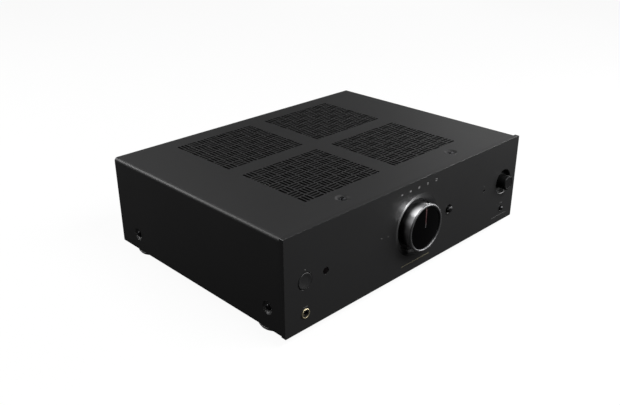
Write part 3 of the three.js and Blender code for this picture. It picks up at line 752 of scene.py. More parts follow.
# rear print, the rocker, resistors and lead insulation
surface("printed_rear_grey", (0.42, 0.42, 0.42), rough=0.6, grain=0.3, bump=0.002, vary=0.15)
surface("rocker_moulding", (0.018, 0.018, 0.019), rough=0.3, grain=0.25, bump=0.003, vary=0.1)
surface("resistor_lacquer", (0.30, 0.20, 0.11), rough=0.35, grain=0.6, bump=0.004, vary=0.2,
        coat=0.4, blotch=3, blotch_vary=0.3)
surface("brown_insulation", (0.10, 0.035, 0.015), rough=0.4, grain=0.5, bump=0.006)
surface("blue_insulation", (0.02, 0.06, 0.22), rough=0.4, grain=0.5, bump=0.006)
# a darker, rougher, less shiny copy of the plate finish for the plate's top face; its darker colour is
# painted shade that dims the light band along the top edge
surface("dimmed_plate_top_face", (0.0135, 0.0135, 0.0138), rough=0.5, grain=0.3, bump=0.003,
        specular=0.35)

# turned parts
knob_side = turned("turned_knob_metal", (0.62, 0.62, 0.63), rough=0.38, centre=knob,
                   pitch=0.3, bump=0.0006, anisotropy=0.9)
turned("polished_knob_edge", (0.19, 0.19, 0.194), rough=0.46, centre=knob, pitch=0.3,
       bump=0.0005)
turned("black_gloss_face", (0.0012, 0.0012, 0.0013), rough=0.05, centre=knob, pitch=1.4,
       bump=0.00003, metal=0.0, vary=0.2, specular=0.1)
turned("turned_selector_metal", (0.02, 0.02, 0.0205), rough=0.55, centre=selector, pitch=0.22,
       bump=0.004)
turned("turned_button_metal", (0.044, 0.044, 0.0455), rough=0.42, centre=mute, pitch=0.2,
       bump=0.002)
turned("turned_small_button_metal", (0.06, 0.06, 0.062), rough=0.40, centre=pairing, pitch=0.2,
       bump=0.002)
turned("power_button_metal", (0.009, 0.009, 0.0093), rough=0.52, centre=power, bump=0.002,
       metal=0.0)
turned("gold_socket_ring", (0.70, 0.62, 0.42), rough=0.5, centre=jack, pitch=0.2, bump=0.002)
recess_rim = turned("burnished_recess_rim", (0.018, 0.018, 0.0183), rough=0.40, centre=knob,
                    bump=0.0006, metal=0.0, specular=0.3)
turned("steel_shaft", (0.5, 0.5, 0.5), rough=0.25, centre=knob, pitch=0.3, bump=0.002)


def shade_knob_foot(tree, shader):
    """Paints shade on the knob's side towards its foot, where the plate keeps the light off it; to the
    camera only.
    """
    foot_y, front_y = -0.1605, -0.1715      # metres in the frame
    base = shader.inputs["Base Color"].links[0].from_socket
    coords = add_node(tree, "TexCoord").outputs["Object"]
    place = add_node(tree, "SeparateXYZ", {0: coords})
    # painted shade: the side's colour is multiplied down to 0.025 at its foot
    shade = map_range(tree, place.outputs["Y"], 0.025, 1.0, foot_y, front_y,
                      interpolation_type="SMOOTHSTEP")
    camera_ray = add_node(tree, "LightPath").outputs["Is Camera Ray"]
    seen = add_node(tree, "Mix", {0: camera_ray, 2: 1.0, 3: shade}, data_type="FLOAT")
    set_inputs(tree, shader, {
        "Base Color": mix_colour(tree, 1.0, base, seen.outputs[0], blend_type="MULTIPLY")})


def fade_recess_rim(tree, shader):
    """Fades the rim's shine towards the bottom and the right of the opening."""
    position = add_node(tree, "NewGeometry").outputs["Position"]
    place = add_node(tree, "SeparateXYZ", {0: position})
    down = map_range(tree, place.outputs["Z"], 0.12, 1.0,
                     (knob.z - 31) / 1000, (knob.z - 12) / 1000)
    right = map_range(tree, place.outputs["X"], 0.15, 1.0,
                      (knob.x + 25) / 1000, (knob.x - 4) / 1000)
    full_shine = 0.3
    set_inputs(tree, shader, {
        "Specular IOR Level": multiply(tree, multiply(tree, down, right), full_shine)})


def pointer_finish():
    """Red over most of the pointer's length, grey at its inner end."""
    tree, shader = new_material("pointer_red_to_grey")
    coords = add_node(tree, "TexCoord").outputs["Object"]
    place = add_node(tree, "SeparateXYZ", {0: coords})
    redness = map_range(tree, place.outputs["Z"], 0.0, 1.0,
                        (knob.z + 3.0) / 1000, (knob.z + 9.0) / 1000)
    speckle = add_node(tree, "TexNoise", {"Scale": 1400, "Vector": coords}).outputs["Color"]
    grey, red, speckling = (0.10, 0.098, 0.098, 1), (0.092, 0.040, 0.042, 1), 0.25
    base = mix_colour(tree, speckling, mix_colour(tree, redness, grey, red), speckle,
                      blend_type="MULTIPLY")
    set_inputs(tree, shader, {"Base Color": base, "Roughness": 0.45})


shade_knob_foot(*knob_side)
fade_recess_rim(*recess_rim)
pointer_finish()

# ------------------------------------------------------------------ front plate
plate_lo, plate_hi = cad_box("front_panel")
WELL_RADIUS = 31.6                      # the opening round the knob
DISH_WIDTH, DISH_DEPTH = 8.8, 5.7       # the rounding round that opening
front_holes = [
    (disc(knob, WELL_RADIUS, 160), DISH_WIDTH, DISH_DEPTH), (disc(selector, 16.4, 96), 1.5),
    (disc(mute, 5.5, 48), 0.8), (disc(pairing, 3.6, 40), 0.5), (disc(power, 10.25, 64), 0.12),
    (disc(sensor, 4.3, 40), 0.08), (disc(jack, 4.9, 40), 0.2), (disc(indicator, 1.9, 24), 0.15),
]
front_plate = plate("front_plate", round_rect(plate_lo.x, plate_lo.z, plate_hi.x, plate_hi.z, 1.1),
                    front_holes, plate_lo.y, plate_hi.y, ease=0.16, steps=9,
                    finish="anodised_plate", slot="front_plate", replaces="front_panel")


def finish_top_edge(made, finish):
    """Gives the upward faces within 0.6 mm of the top their own finish."""
    made.data.materials.append(MATERIALS[finish])
    turn = made.matrix_world.to_3x3()
    upward = [face for face in made.data.polygons if (turn @ face.normal).z > 0.9]
    top = max((made.matrix_world @ face.center).z for face in upward)
    for face in upward:
        if (made.matrix_world @ face.center).z > top - 0.0006:
            face.material_index = len(made.data.materials) - 1


# the plate's top face takes the darker copy: painted shade
finish_top_edge(front_plate, "dimmed_plate_top_face")


def on_dish(degrees, lift):
    """A point on the rounding round the knob's opening, lifted off its surface."""
    t = math.radians(degrees)
    across, facing = -DISH_DEPTH * math.sin(t), -DISH_WIDTH * math.cos(t)
    size = math.hypot(across, facing)
    return (WELL_RADIUS + DISH_WIDTH * (1 - math.sin(t)) + lift * across / size,
            DISH_DEPTH * (1 - math.cos(t)) + lift * facing / size)


# a thin burnished skin over the rounding
rim_profile = [on_dish(3.5 + 85 * k / 27, 0.03) for k in range(28)]
rim_profile += [on_dish(88.5 - 85 * k / 27, -0.12) for k in range(28)]
solid("knob_recess_rim", lathe("Y", knob, rim_profile + rim_profile[:1], 192),
      "burnished_recess_rim", "front_plate", angle=40)


def front_marks(name, outlines, finish):
    """Thin printed shapes on the front plate: outlines in (x, z)."""
    shapes = [prism(outline, "Y", plate_lo.y - 0.04, plate_lo.y + 0.01) for outline in outlines]
    solid(name, joined(shapes), finish, "front_plate", angle=30)


# a row of small signs above the knob
centre_mark_z = plate_lo.z + 108.0
FUNNEL = [(-1.7, 1.5), (1.7, 1.5), (0.4, -0.2), (0.4, -1.5), (-0.4, -1.5), (-0.4, -0.2)]
centre_marks = bars(knob.x, centre_mark_z, [
    (-33.2, -29.8, -0.9, 0.9, 0.7), (-18.0, -14.6, -0.9, 1.0, 0.3),
    (-1.7, -0.5, -1.4, 1.5, 0.3), (0.1, 1.2, -1.4, 1.5, 0.3)])
centre_marks.append([(knob.x + 15.9 + x, centre_mark_z + z) for x, z in FUNNEL])
centre_marks += bars(knob.x, centre_mark_z, [
    (30.8, 34.4, 0.9, 1.6, 0.1), (30.8, 34.4, -1.6, -0.9, 0.1), (33.7, 34.4, -0.85, 0.85, 0.1)])
front_marks("plate_centre_marks", centre_marks, "printed_light_grey")
# a rule with ticks below the knob
front_marks("plate_gold_rule",
            bars(knob.x, plate_lo.z, [(-25, 26.5, 11.15, 11.65)] +
                 [(tick - 0.3, tick + 0.3, 10.2, 12.6) for tick in range(-25, 26, 10)]),
            "printed_gold")
front_marks("plate_control_marks",
            bars(pairing.x, pairing.z, [(-2.4, 2.4, 8.2, 8.6)]) +
            bars(selector.x, plate_lo.z, [(-20, 14, 9.8, 10.1)]) +
            bars(jack.x, jack.z, [(-3.0, 3.0, 7.9, 8.3)]) +
            bars(power.x, power.z, [(-0.9, 0.9, 13.0, 13.9, 0.3)]) +
            bars(indicator.x, indicator.z, [(-0.8, 0.8, 6.2, 6.9, 0.2)]) +
            bars(knob.x, plate_lo.z, [(-65.8, -63.8, 64.2, 64.8), (-54.0, -52.4, 62.5, 63.1)]),
            "printed_dim_grey")

# ------------------------------------------------------------------ folded cover
cover_lo, cover_hi = cad_box("top_cover")
COVER_SHEET = 1.5
cover_fold = Fold(cover_hi.x, radius=4.5, z_flat=cover_hi.z, way=-1)
# vent fields: cells of three slots, lying along v and along u by turns
VENT_X0, VENT_X1 = 12.5, 138.0
VENT_FIELDS_Y = ((48.5, 158.5), (181.5, 291.5))
VENT_COLUMNS, VENT_ROWS = 8, 7
VENT_LENGTH, VENT_WIDTH, VENT_PITCH = 14.4, 3.45, 5.25


def cover_vents():
    vents = []
    cell_x = (VENT_X1 - VENT_X0) / VENT_COLUMNS
    for field_x in (-VENT_X1, VENT_X0):
        for y0, y1 in VENT_FIELDS_Y:
            cell_y = (y1 - y0) / VENT_ROWS
            for i in range(VENT_COLUMNS):
                for j in range(VENT_ROWS):
                    x, y = field_x + (i + 0.5) * cell_x, y0 + (j + 0.5) * cell_y
                    along = "v" if (i + j) % 2 == 0 else "u"
                    for k in (-1, 0, 1):
                        off = VENT_PITCH * k
                        at = (x + off, y) if along == "v" else (x, y + off)
                        vents.append(slot_outline(*at, VENT_LENGTH, VENT_WIDTH, along, 4))
    return vents


# cover screws: name ending, axis, outward sign, inner and outer radius of the pressed recess
cover_screws = []
for side, sign in SIDES:
    cover_screws.append(("top_" + side, "Z", 1, (4.8, 9.2)))
    cover_screws += [("side_%s_%s" % (side, end), "X", sign, (4.4, 8.4)) for end in ENDS]
RECESS_DEPTH = 1.8
SEAT_DEPTH = 1.62       # how far under the cover's face a screw head sits


def on_cover(ending, axis, sign, depth=0.0):
    """A cover screw's place, at a depth under the cover's face."""
    c = cad_centre("cover_screw_" + ending)
    if axis == "Z":
        return Point(c.x, c.y, cover_hi.z - depth)
    return Point(sign * (cover_hi.x - depth), c.y, c.z)


dimples = []
for ending, axis, sign, radii in cover_screws:
    c = cad_centre("cover_screw_" + ending)
    dimple_u = c.x if axis == "Z" else sign * cover_fold.blank_u(c.z)
    dimples.append((dimple_u, c.y, *radii, RECESS_DEPTH))
# the cut walls inside the vent fields take the near-black painted shade
sheet("folded_cover", cover_fold, (cover_lo.y, cover_hi.y), cover_lo.z, COVER_SHEET,
      cover_vents() + [circle(u, v, 1.9, 20) for u, v, *_ in dimples], dimples, bend_steps=8,
      finish=("textured_cover_paint", "painted_shade_slot_wall"), slot="cover_paint",
      replaces="top_cover", painted_shade_wall=lambda p: abs(p[0]) < 140 and 40 < p[1] < 300)


def recess_paint(ending, axis, sign, inner, outer):
    """The thicker paint in a pressed screw recess, as a ring over its slope."""
    centre = on_cover(ending, axis, sign)
    base = centre["XYZ".index(axis)]
    ring = []
    for lift, order in ((0.07, range(15)), (0.015, range(14, -1, -1))):
        for k in order:
            t = 0.04 + 0.88 * k / 14
            ring.append((inner + (outer - inner) * t,
                         base + sign * (lift - RECESS_DEPTH * (1 - smoothstep(t)))))
    solid("recess_paint_" + ending, lathe(axis, centre, ring + ring[:1], 56),
          "textured_cover_paint", "cover_paint", angle=40)


for ending, axis, sign, radii in cover_screws:
    recess_paint(ending, axis, sign, *radii)
for ending, axis, sign, _ in cover_screws:
    screw("pan_screw_" + ending, on_cover(ending, axis, sign, SEAT_DEPTH), axis, sign,
          replaces="cover_screw_" + ending, length=4.9)

# ------------------------------------------------------------------ chassis tray
tray_lo, tray_hi = cad_box("chassis_tray")
TRAY_SHEET = 1.2
tray_fold = Fold(tray_hi.x, radius=2.0, z_flat=tray_lo.z, way=1)
FEET = ("front_left", "front_right", "rear_left", "rear_right")
# floor slots in two columns
tray_holes = [slot_outline(x, 73 + i * 20, 78, 5.5, "u", 6) for x in (-60, 60) for i in range(9)]
tray_holes += [circle(*cad_centre("foot_" + foot)[:2], 2.3, 20) for foot in FEET]
for side, sign in SIDES:
    for end in ENDS:
        c = cad_centre("cover_screw_side_%s_%s" % (side, end))
        tray_holes.append(circle(sign * tray_fold.blank_u(c.z), c.y, 1.6, 16))
# round dimples pressed up into the floor
tray_dimples = [(x, y, 5, 9, 0.9) for x, y in ((0, 60), (0, 160), (0, 265), (-150, 160), (150, 160))]
sheet("folded_tray", tray_fold, (tray_lo.y, tray_hi.y), tray_hi.z, TRAY_SHEET, tray_holes,
      tray_dimples, bend_steps=5, finish=("zinc_plated_steel", "zinc_plated_steel"),
      slot="zinc_steel", replaces="chassis_tray")
flange_z = tray_lo.z + TRAY_SHEET + 0.05
solid("tray_end_flanges", joined([
    block((-210, tray_lo.y, flange_z), (210, tray_lo.y + TRAY_SHEET, 22)),
    block((-210, tray_hi.y - TRAY_SHEET, flange_z), (210, tray_hi.y, 24))]),
    "zinc_plated_steel", "zinc_steel")

# ------------------------------------------------------------------ feet
# Profiles are (radius, height along the axis), with a rounding radius per point.
foot_profile = rounded_ring(
    [(5.2, 0.0), (18.3, 0.0), (18.9, 1.6), (17.25, 1.6), (17.25, 4.45), (19.2, 4.45),
     (19.7, 5.4), (19.7, 13.6), (2.4, 13.6), (2.4, 9.0), (5.2, 9.0)],
    [0.3, 0.7, 0.2, 0, 0, 0.35, 0.5, 0.4, 0, 0, 0.3])
foot_ring_profile = rounded_ring(
    [(17.6, 1.9), (19.2, 1.9), (20.0, 2.7), (20.0, 4.2), (17.6, 4.2)], [0, 0.5, 0.5, 0.2, 0])
for foot in FEET:
    c = cad_centre("foot_" + foot)
    solid("moulded_foot_" + foot, lathe("Z", c, foot_profile, 96), "foot_rubber",
          "foot_rubber", "foot_" + foot)
    solid("foot_trim_" + foot, lathe("Z", c, foot_ring_profile, 128), "bright_foot_ring",
          "bright_ring", "foot_ring_" + foot)
    screw("foot_screw_" + foot, (c.x, c.y, 8.9), "Z", -1, "zinc_plated_steel", "zinc_steel",
          radius=3.8, height=2.2, shank=2.0, length=8.0)

# ------------------------------------------------------------------ volume knob
# a turned shell, flared towards the front
shell_profile = [
    (0, -10.9), (26.9, -10.9), (26.9, -12.35), (30.0, -12.35), (30.08, -12.0), (29.75, -10.6),
    (29.4, -9.0), (29.0, -7.0), (28.7, -5.0), (28.45, -2.5), (28.3, -0.5), (28.3, 3.2),
    (28.1, 3.4), (26, 3.4), (26, -7), (8, -7), (8, 2), (3.3, 2), (3.3, -9.4), (0, -9.4)]
solid("knob_shell", lathe("Y", knob, shell_profile, 192), "turned_knob_metal", "knob_metal",
      "volume_knob", body="volume_control", angle=50)
# the bezel ring: an inner and an outer quarter turn that meet at its front
quarter = [math.pi / 2 * k / 8 for k in range(1, 9)]
bezel_profile = [(27.15, -12.4), (27.15, -12.9)]
bezel_profile += [(28.3 - 1.15 * math.cos(t), -12.95 - 1.05 * math.sin(t)) for t in quarter]
bezel_profile += [(28.3 + 1.9 * math.sin(t), -12.7 - 1.3 * math.cos(t)) for t in quarter]
bezel_profile += [(30.2, -12.4), bezel_profile[0]]
solid("knob_bezel", lathe("Y", knob, bezel_profile, 192), "polished_knob_edge", "knob_metal",
      body="volume_control", angle=60)
# the black face with the pointer's groove, a backing disc and the pointer
groove = bar(knob.x - 0.85, knob.x + 0.85, knob.z - 0.2, knob.z + 25.6, 0.5)
solid("knob_face_disc",
      plate_shape(disc(knob, 27.0, 192), [(fixed_outline(groove), 0)], -12.6, -11.55,
                  ease=0.25, steps=3)[0],
      "black_gloss_face", "gloss_face", "volume_knob_face", body="volume_control", angle=30)
solid("knob_face_backing",
      plate_shape(disc(knob, 26.9, 96), [], -11.5, -11.0, ease=0.05, steps=1)[0],
      "moulded_black", "gloss_face", body="volume_control", angle=30)
solid("knob_pointer_bar",
      block((knob.x - 0.68, -12.55, knob.z + 0.1), (knob.x + 0.68, -11.55, knob.z + 25.4), 0.2),
      "pointer_red_to_grey", "pointer_red", "volume_pointer", body="volume_control")
shaft_profile = rounded([(0, -9.2), (3.0, -9.2), (3.0, 11.4), (0, 11.4)], [0, 0.5, 0.4, 0], 3)
solid("knob_shaft", lathe("Y", knob, shaft_profile, 48), "steel_shaft", "shaft_metal",
      "volume_shaft", body="volume_control")

# ------------------------------------------------------------------ selector
selector_profile = rounded(
    [(0, -8.55), (7.2, -8.6), (7.6, -8.9), (9.0, -8.9), (9.8, -7.9), (9.8, 4.4), (3.3, 4.4),
     (3.3, -5), (0, -5)], [0, 0.4, 0.4, 0.7, 0.9, 0.2, 0, 0, 0], 6)
solid("selector_cap", lathe("Y", selector, selector_profile, 128), "turned_selector_metal",
      "knob_metal", "selector_knob", body="selector_control", angle=50)
spindle_profile = rounded([(0, -4.8), (3.0, -4.8), (3.0, 11.4), (0, 11.4)], [0, 0.4, 0.4, 0], 3)
solid("selector_spindle", lathe("Y", selector, spindle_profile, 40), "steel_shaft",
      "shaft_metal", "selector_shaft", body="selector_control")

# ------------------------------------------------------------------ buttons
# name, centre, finish, points round, sharp angle, profile, roundings
BUTTONS = [
    ("power", power, "power_button_metal", 96, 40,
     [(0, 0.45), (5, 0.15), (8.4, -0.42), (9.25, -0.42), (9.6, -0.1), (9.6, 3.4), (3, 3.4),
      (3, 8.6), (5, 8.6), (5, 9.6), (3, 9.6), (3, 13.4), (0, 13.4)],
     [0, 3, 0.6, 0.25, 0.3, 0.2, 0, 0, 0.2, 0.2, 0, 0.3, 0]),
    ("mute", mute, "turned_button_metal", 72, 60,
     [(0, -4.1), (2.6, -3.9), (3.9, -3.1), (4.2, -2.2), (4.2, 4), (1.7, 4), (1.7, 8.6),
      (2.8, 8.6), (2.8, 9.4), (1.7, 9.4), (1.7, 15), (0, 15)],
     [0, 1.6, 0.9, 0.8, 0.2, 0, 0, 0.2, 0.2, 0, 0.3, 0]),
    ("pairing", pairing, "turned_small_button_metal", 64, 60,
     [(0, -3.1), (1.8, -2.9), (2.7, -2.2), (2.9, -1.6), (2.9, 4), (1.3, 4), (1.3, 8.6),
      (2.2, 8.6), (2.2, 9.4), (1.3, 9.4), (1.3, 15), (0, 15)],
     [0, 1.1, 0.6, 0.5, 0.2, 0, 0, 0.2, 0.2, 0, 0.3, 0]),
]
for name, centre, finish, count, angle, profile, roundings in BUTTONS:
    solid(name + "_push_button", lathe("Y", centre, rounded(profile, roundings, 5), count),
          finish, "button_metal", name + "_button", body=name + "_button", angle=angle)

# ------------------------------------------------------------------ socket, window, indicator
barrel_profile = rounded([(3.3, -0.7), (4.55, -0.7), (4.55, 8.2), (3.3, 8.2), (3.3, -0.7)],
                         [0.2, 0.25, 0, 0, 0.2], 3)
solid("socket_body", joined([
    block((jack.x - 8, 8.1, jack.z - 8), (jack.x + 8, 21.8, jack.z + 8), 0.8),
    lathe("Y", jack, barrel_profile)]), "moulded_black", "moulded_black", "headphone_jack")
solid("socket_contacts", joined([
    lathe("Y", jack, [(0, 7.6), (3.28, 7.6), (3.28, 8.05), (0, 8.05)], 48),
    block((jack.x - 0.5, 2.6, jack.z + 1.9), (jack.x + 0.5, 7.7, jack.z + 3.2), 0.2),
    block((jack.x - 0.5, 2.0, jack.z - 3.2), (jack.x + 0.5, 7.7, jack.z - 2.2), 0.2)]),
    "gold_plate", "gold")
nut_profile = rounded_ring([(4.7, -0.15), (4.7, -1.1), (5.3, -1.1), (5.75, -0.75), (5.75, -0.15)],
                           [0, 0.2, 0.25, 0.25, 0])
solid("socket_ring_nut", lathe("Y", jack, nut_profile, 96), "gold_socket_ring", "gold",
      "headphone_jack_nut")
lens_profile = [(0, 0.25), (1.5, 0.28), (3.0, 0.42), (3.8, 0.6), (4.05, 0.85), (4.05, 5.9), (0, 5.9)]
solid("sensor_lens", lathe("Y", sensor, lens_profile, 72), "smoked_window", "smoked_lens",
      "ir_window", angle=50)
pipe_profile = [(0, 1.3), (0.7, 1.35), (1.2, 1.55), (1.4, 1.9), (1.4, 21.6), (0, 21.6)]
solid("indicator_pipe", lathe("Y", indicator, pipe_profile, 40), "clear_light_pipe",
      "clear_pipe", "status_light_pipe", angle=50)

# ------------------------------------------------------------------ rear panel
rear_lo, rear_hi = cad_box("rear_panel")
posts = {k: cad_centre("binding_post_cap_" + k)
         for k in ("right_plus", "right_minus", "left_plus", "left_minus")}
inlet_lo, inlet_hi = cad_box("iec_inlet")
inlet = cad_centre("iec_inlet")
switch_lo, switch_hi = cad_box("mains_switch_housing")
switch = cad_centre("mains_switch_housing")
rca_lo, rca_hi = cad_box("rca_socket_block")
RCA_X = [rca_lo.x + 8 + 24 * k for k in range(4)]
RCA_TOP, RCA_BOTTOM = rca_hi.z - 9, rca_lo.z + 9
digital_lo, digital_hi = cad_box("digital_socket_block")
antenna = cad_centre("antenna_connector")
FLANGE_BACK = 314.9         # y of the backs of the socket flanges
SLEEVE_START = 314.85       # y where the sleeves behind them begin

rear_screws = [on_face(x, z) for x, z in
               ((-200, 22), (200, 22), (-200, 120), (200, 120), (0, 120), (0, 22))]
rear_holes = [(centred_rect(inlet, 14, 10.5, 1.5), 0), (centred_rect(switch, 8, 11.2, 1.0), 0)]
rear_holes += [(disc(c, 4.4, 32), 0.2) for c in posts.values()]
rear_holes += [(disc(on_face(x, z), 4.35, 32), 0.2) for x in RCA_X for z in (RCA_TOP, RCA_BOTTOM)]
rear_holes += [(round_rect(digital_lo.x - 0.5, digital_lo.z - 0.5,
                           digital_hi.x + 0.5, digital_hi.z + 0.5, 1.0, 4), 0),
               (disc(antenna, 3.6, 32), 0.2)]
rear_holes += [(disc(c, 1.7, 20), 0.15) for c in rear_screws]
plate("rear_sheet", round_rect(rear_lo.x, rear_lo.z, rear_hi.x, rear_hi.z, 1.5), rear_holes,
      rear_hi.y, rear_lo.y, ease=0.3, steps=3, finish="black_painted_steel",
      slot="black_steel", replaces="rear_panel")
for i, c in enumerate(rear_screws, 1):
    screw("rear_screw_%d" % i, (c.x, rear_hi.y + 0.05, c.z), "Y", 1,
          radius=2.9, height=1.7, length=6.0)


# printed frames and ticks
def rear_frame(x0, z0, x1, z1):
    outline = round_rect(x0, z0, x1, z1, 1.6, 4)
    outer, inner = outline(0), outline(0.35)
    count = len(outer)
    verts = [(p[0], y, p[1]) for y in (rear_hi.y + 0.05, rear_hi.y - 0.01)
             for line in (outer, inner) for p in line]
    faces = []
    for i in range(count):
        j = (i + 1) % count
        faces += [(i, j, count + j, count + i),
                  (2 * count + j, 2 * count + i, 3 * count + i, 3 * count + j),
                  (j, i, 2 * count + i, 2 * count + j),
                  (count + i, count + j, 3 * count + j, 3 * count + i)]
    return outward(verts, faces)


def rear_bar(x0, x1, z0, z1, lift=0.05):
    return prism(bar(x0, x1, z0, z1, 0.1), "Y", rear_hi.y - 0.01, rear_hi.y + lift)


rear_marks = []
for side in ("right", "left"):
    plus, minus = posts[side + "_plus"], posts[side + "_minus"]
    rear_marks.append(rear_frame(plus.x - 14, plus.z + 14.5, minus.x + 14, plus.z + 20.5))
for i, x in enumerate(RCA_X):
    rear_marks.append(rear_frame(x - 8.5, RCA_BOTTOM - 8.5, x + 8.5, RCA_TOP + 8.5))
    rear_marks += [rear_bar(x - 3 + 2.0 * k, x - 2.2 + 2.0 * k, RCA_TOP + 10.4, RCA_TOP + 12.4)
                   for k in range(i + 1)]
for x0, x1 in ((digital_lo.x - 5, digital_hi.x + 5), (antenna.x - 11, antenna.x + 11)):
    rear_marks.append(rear_frame(x0, digital_lo.z - 5, x1, digital_hi.z + 5))
for key, c in posts.items():
    rear_marks.append(rear_bar(c.x - 2.2, c.x + 2.2, c.z + 17.15, c.z + 17.85))
    if key.endswith("plus"):
        rear_marks.append(rear_bar(c.x - 0.35, c.x + 0.35, c.z + 15.3, c.z + 19.7, lift=0.052))
solid("rear_printed_frames", joined(rear_marks), "printed_rear_grey", "black_steel", angle=30)

# ------------------------------------------------------------------ mains inlet
inlet_mouth = centred_rect(inlet, 11.6, 7.8, 2.0)
inlet_screws = [("left", on_face(inlet_lo.x + 4.5, inlet.z)),
                ("right", on_face(inlet_hi.x - 4.5, inlet.z))]
flange, _ = plate_shape(
    round_rect(inlet_lo.x, inlet_lo.z, inlet_hi.x, inlet_hi.z, 2.2),
    [(inlet_mouth, 0.7)] + [(disc(c, 1.7, 24), 0.2) for _, c in inlet_screws],
    inlet_hi.y, FLANGE_BACK, ease=0.6, steps=3)
sleeve, _ = plate_shape(centred_rect(inlet, 13.6, 10, 1.6), [(inlet_mouth, 0)],
                        SLEEVE_START, 299.0, ease=0.1, steps=1)
end_block = block((inlet.x - 13.6, 294.0, inlet.z - 10), (inlet.x + 13.6, 298.95, inlet.z + 10), 0.6)
solid("mains_inlet_body", joined([flange, sleeve, end_block]), "moulded_black",
      "moulded_black", "iec_inlet", angle=40)
blades = []
for off_x, off_z in ((-7.0, -1.6), (7.0, -1.6), (0.0, 2.2)):
    x, z = inlet.x + off_x, inlet.z + off_z
    blades.append(block((x - 1.0, 298.5, z - 2.0), (x + 1.0, 313.2, z + 2.0), 0.5))
solid("mains_inlet_blades", joined(blades), "bright_nickel", "shaft_metal")
for side, c in inlet_screws:
    screw("mains_inlet_screw_" + side, (c.x, inlet_hi.y + 0.02, c.z), "Y", 1,
          radius=2.7, height=1.3, shank=1.3, length=6.0)

# ------------------------------------------------------------------ mains switch
switch_mouth = centred_rect(switch, 6.4, 9.8, 0.8)
flange, _ = plate_shape(
    round_rect(switch_lo.x, switch_lo.z, switch_hi.x, switch_hi.z, 1.6, 4),
    [(switch_mouth, 0.4)], switch_hi.y, FLANGE_BACK, ease=0.5, steps=3)
sleeve, _ = plate_shape(centred_rect(switch, 7.7, 11, 0.8), [(switch_mouth, 0)],
                        SLEEVE_START, 303.0, ease=0.1, steps=1)
end_block = block((switch.x - 7.7, 297.0, switch.z - 11), (switch.x + 7.7, 302.95, switch.z + 11), 0.4)
solid("switch_bezel", joined([flange, sleeve, end_block]), "moulded_black", "moulded_black",
      "mains_switch_housing", angle=40)

ROCKER_TILT, ROCKER_Y = math.radians(7), 311


def on_rocker(points):
    """Tilts points of the rocker's side view, (y, z), and moves them to its pivot."""
    cos, sin = math.cos(ROCKER_TILT), math.sin(ROCKER_TILT)
    return [(ROCKER_Y + y * cos - z * sin, switch.z + y * sin + z * cos) for y, z in points]


rocker_outline = rounded(
    [(-5, -7.2), (6.6, -8.4), (5.2, -4), (4.7, 0), (5.2, 4), (6.6, 8.4), (-5, 7.2)],
    [1.0, 0.8, 6, 9, 6, 0.8, 1.0], 5, closed=True)
rocker = solid("rocker_key",
               prism(on_rocker(rocker_outline), "X", switch.x - 5.9, switch.x + 5.9),
               "rocker_moulding", "moulded_black", body="mains_rocker")
add_bevel(rocker, 0.4, 3, 40)
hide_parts("mains_rocker")
rocker_mark = on_rocker([(5.72, 5.0), (5.9, 5.0), (6.18, 6.6), (6.0, 6.6)])
solid("rocker_on_mark", prism(rocker_mark, "X", switch.x - 0.35, switch.x + 0.35),
      "printed_rear_grey", body="mains_rocker", angle=30)

# ------------------------------------------------------------------ loudspeaker terminals
block_lo, block_hi = cad_box("speaker_terminal_block")
block_z = (block_lo.z + block_hi.z) / 2
left_x, middle_x, right_x = block_lo.x + 4.5, (block_lo.x + block_hi.x) / 2, block_hi.x - 4.5
plate("terminal_plate", round_rect(block_lo.x, block_lo.z, block_hi.x, block_hi.z, 3.0),
      [(disc(c, 4.15, 32), 0) for c in posts.values()] +
      [(disc(on_face(x, block_z), 1.5, 20), 0.15) for x in (left_x, right_x, middle_x)],
      317.2, 314.95, ease=0.6, steps=3, finish="moulded_black", slot="moulded_black",
      replaces="speaker_terminal_block")
for i, x in enumerate((left_x, middle_x, right_x), 1):
    screw("terminal_screw_%d" % i, (x, 317.22, block_z), "Y", 1,
          radius=2.4, height=1.2, shank=1.2, length=5.0)
stud_profile = [(0, 302), (2.6, 302), (3, 302.4), (3, 313.2), (4.1, 313.2), (4.1, 317.25),
                (7.1, 317.25), (7.4, 317.5), (7.4, 317.9), (7.2, 318.1), (3, 318.1)]
for k in range(10):     # thread
    y = 318.6 + k * 1.3
    stud_profile += [(3.0, y), (2.75, y + 0.65)]
stud_profile += [(3.0, 331.9), (2.8, 332.4), (2.15, 332.4), (2.1, 332.2), (2.1, 318.0), (0, 318.0)]
solid("terminal_studs", joined([lathe("Y", c, stud_profile, 48) for c in posts.values()]),
      "gold_plate", "gold")


def fluted(r, h, t):
    """Eighteen flutes round the side of a terminal cap."""
    if r > 6.5 and 319.6 < h < 333.0:
        return r * (1 - 0.045 * (0.5 + 0.5 * math.cos(18 * t)) ** 3)
    return r


cap_profile = [(3.4, 318.5), (7.0, 318.5), (7.7, 318.9), (7.9, 319.5)]
cap_profile += [(8.0, 319.7 + 13.1 * i / 10) for i in range(11)]
cap_profile += [(7.9, 333.2), (7.5, 333.75), (6.9, 334.0), (3.7, 334.0), (3.4, 333.7), (3.4, 318.5)]
for key, c in posts.items():
    colour = "red" if key.endswith("plus") else "black"
    solid("post_cap_" + key, lathe("Y", c, cap_profile, 144, fluted), "clear_%s_cap" % colour,
          "post_" + colour, "binding_post_cap_" + key, body="post_cap_" + key, angle=40)

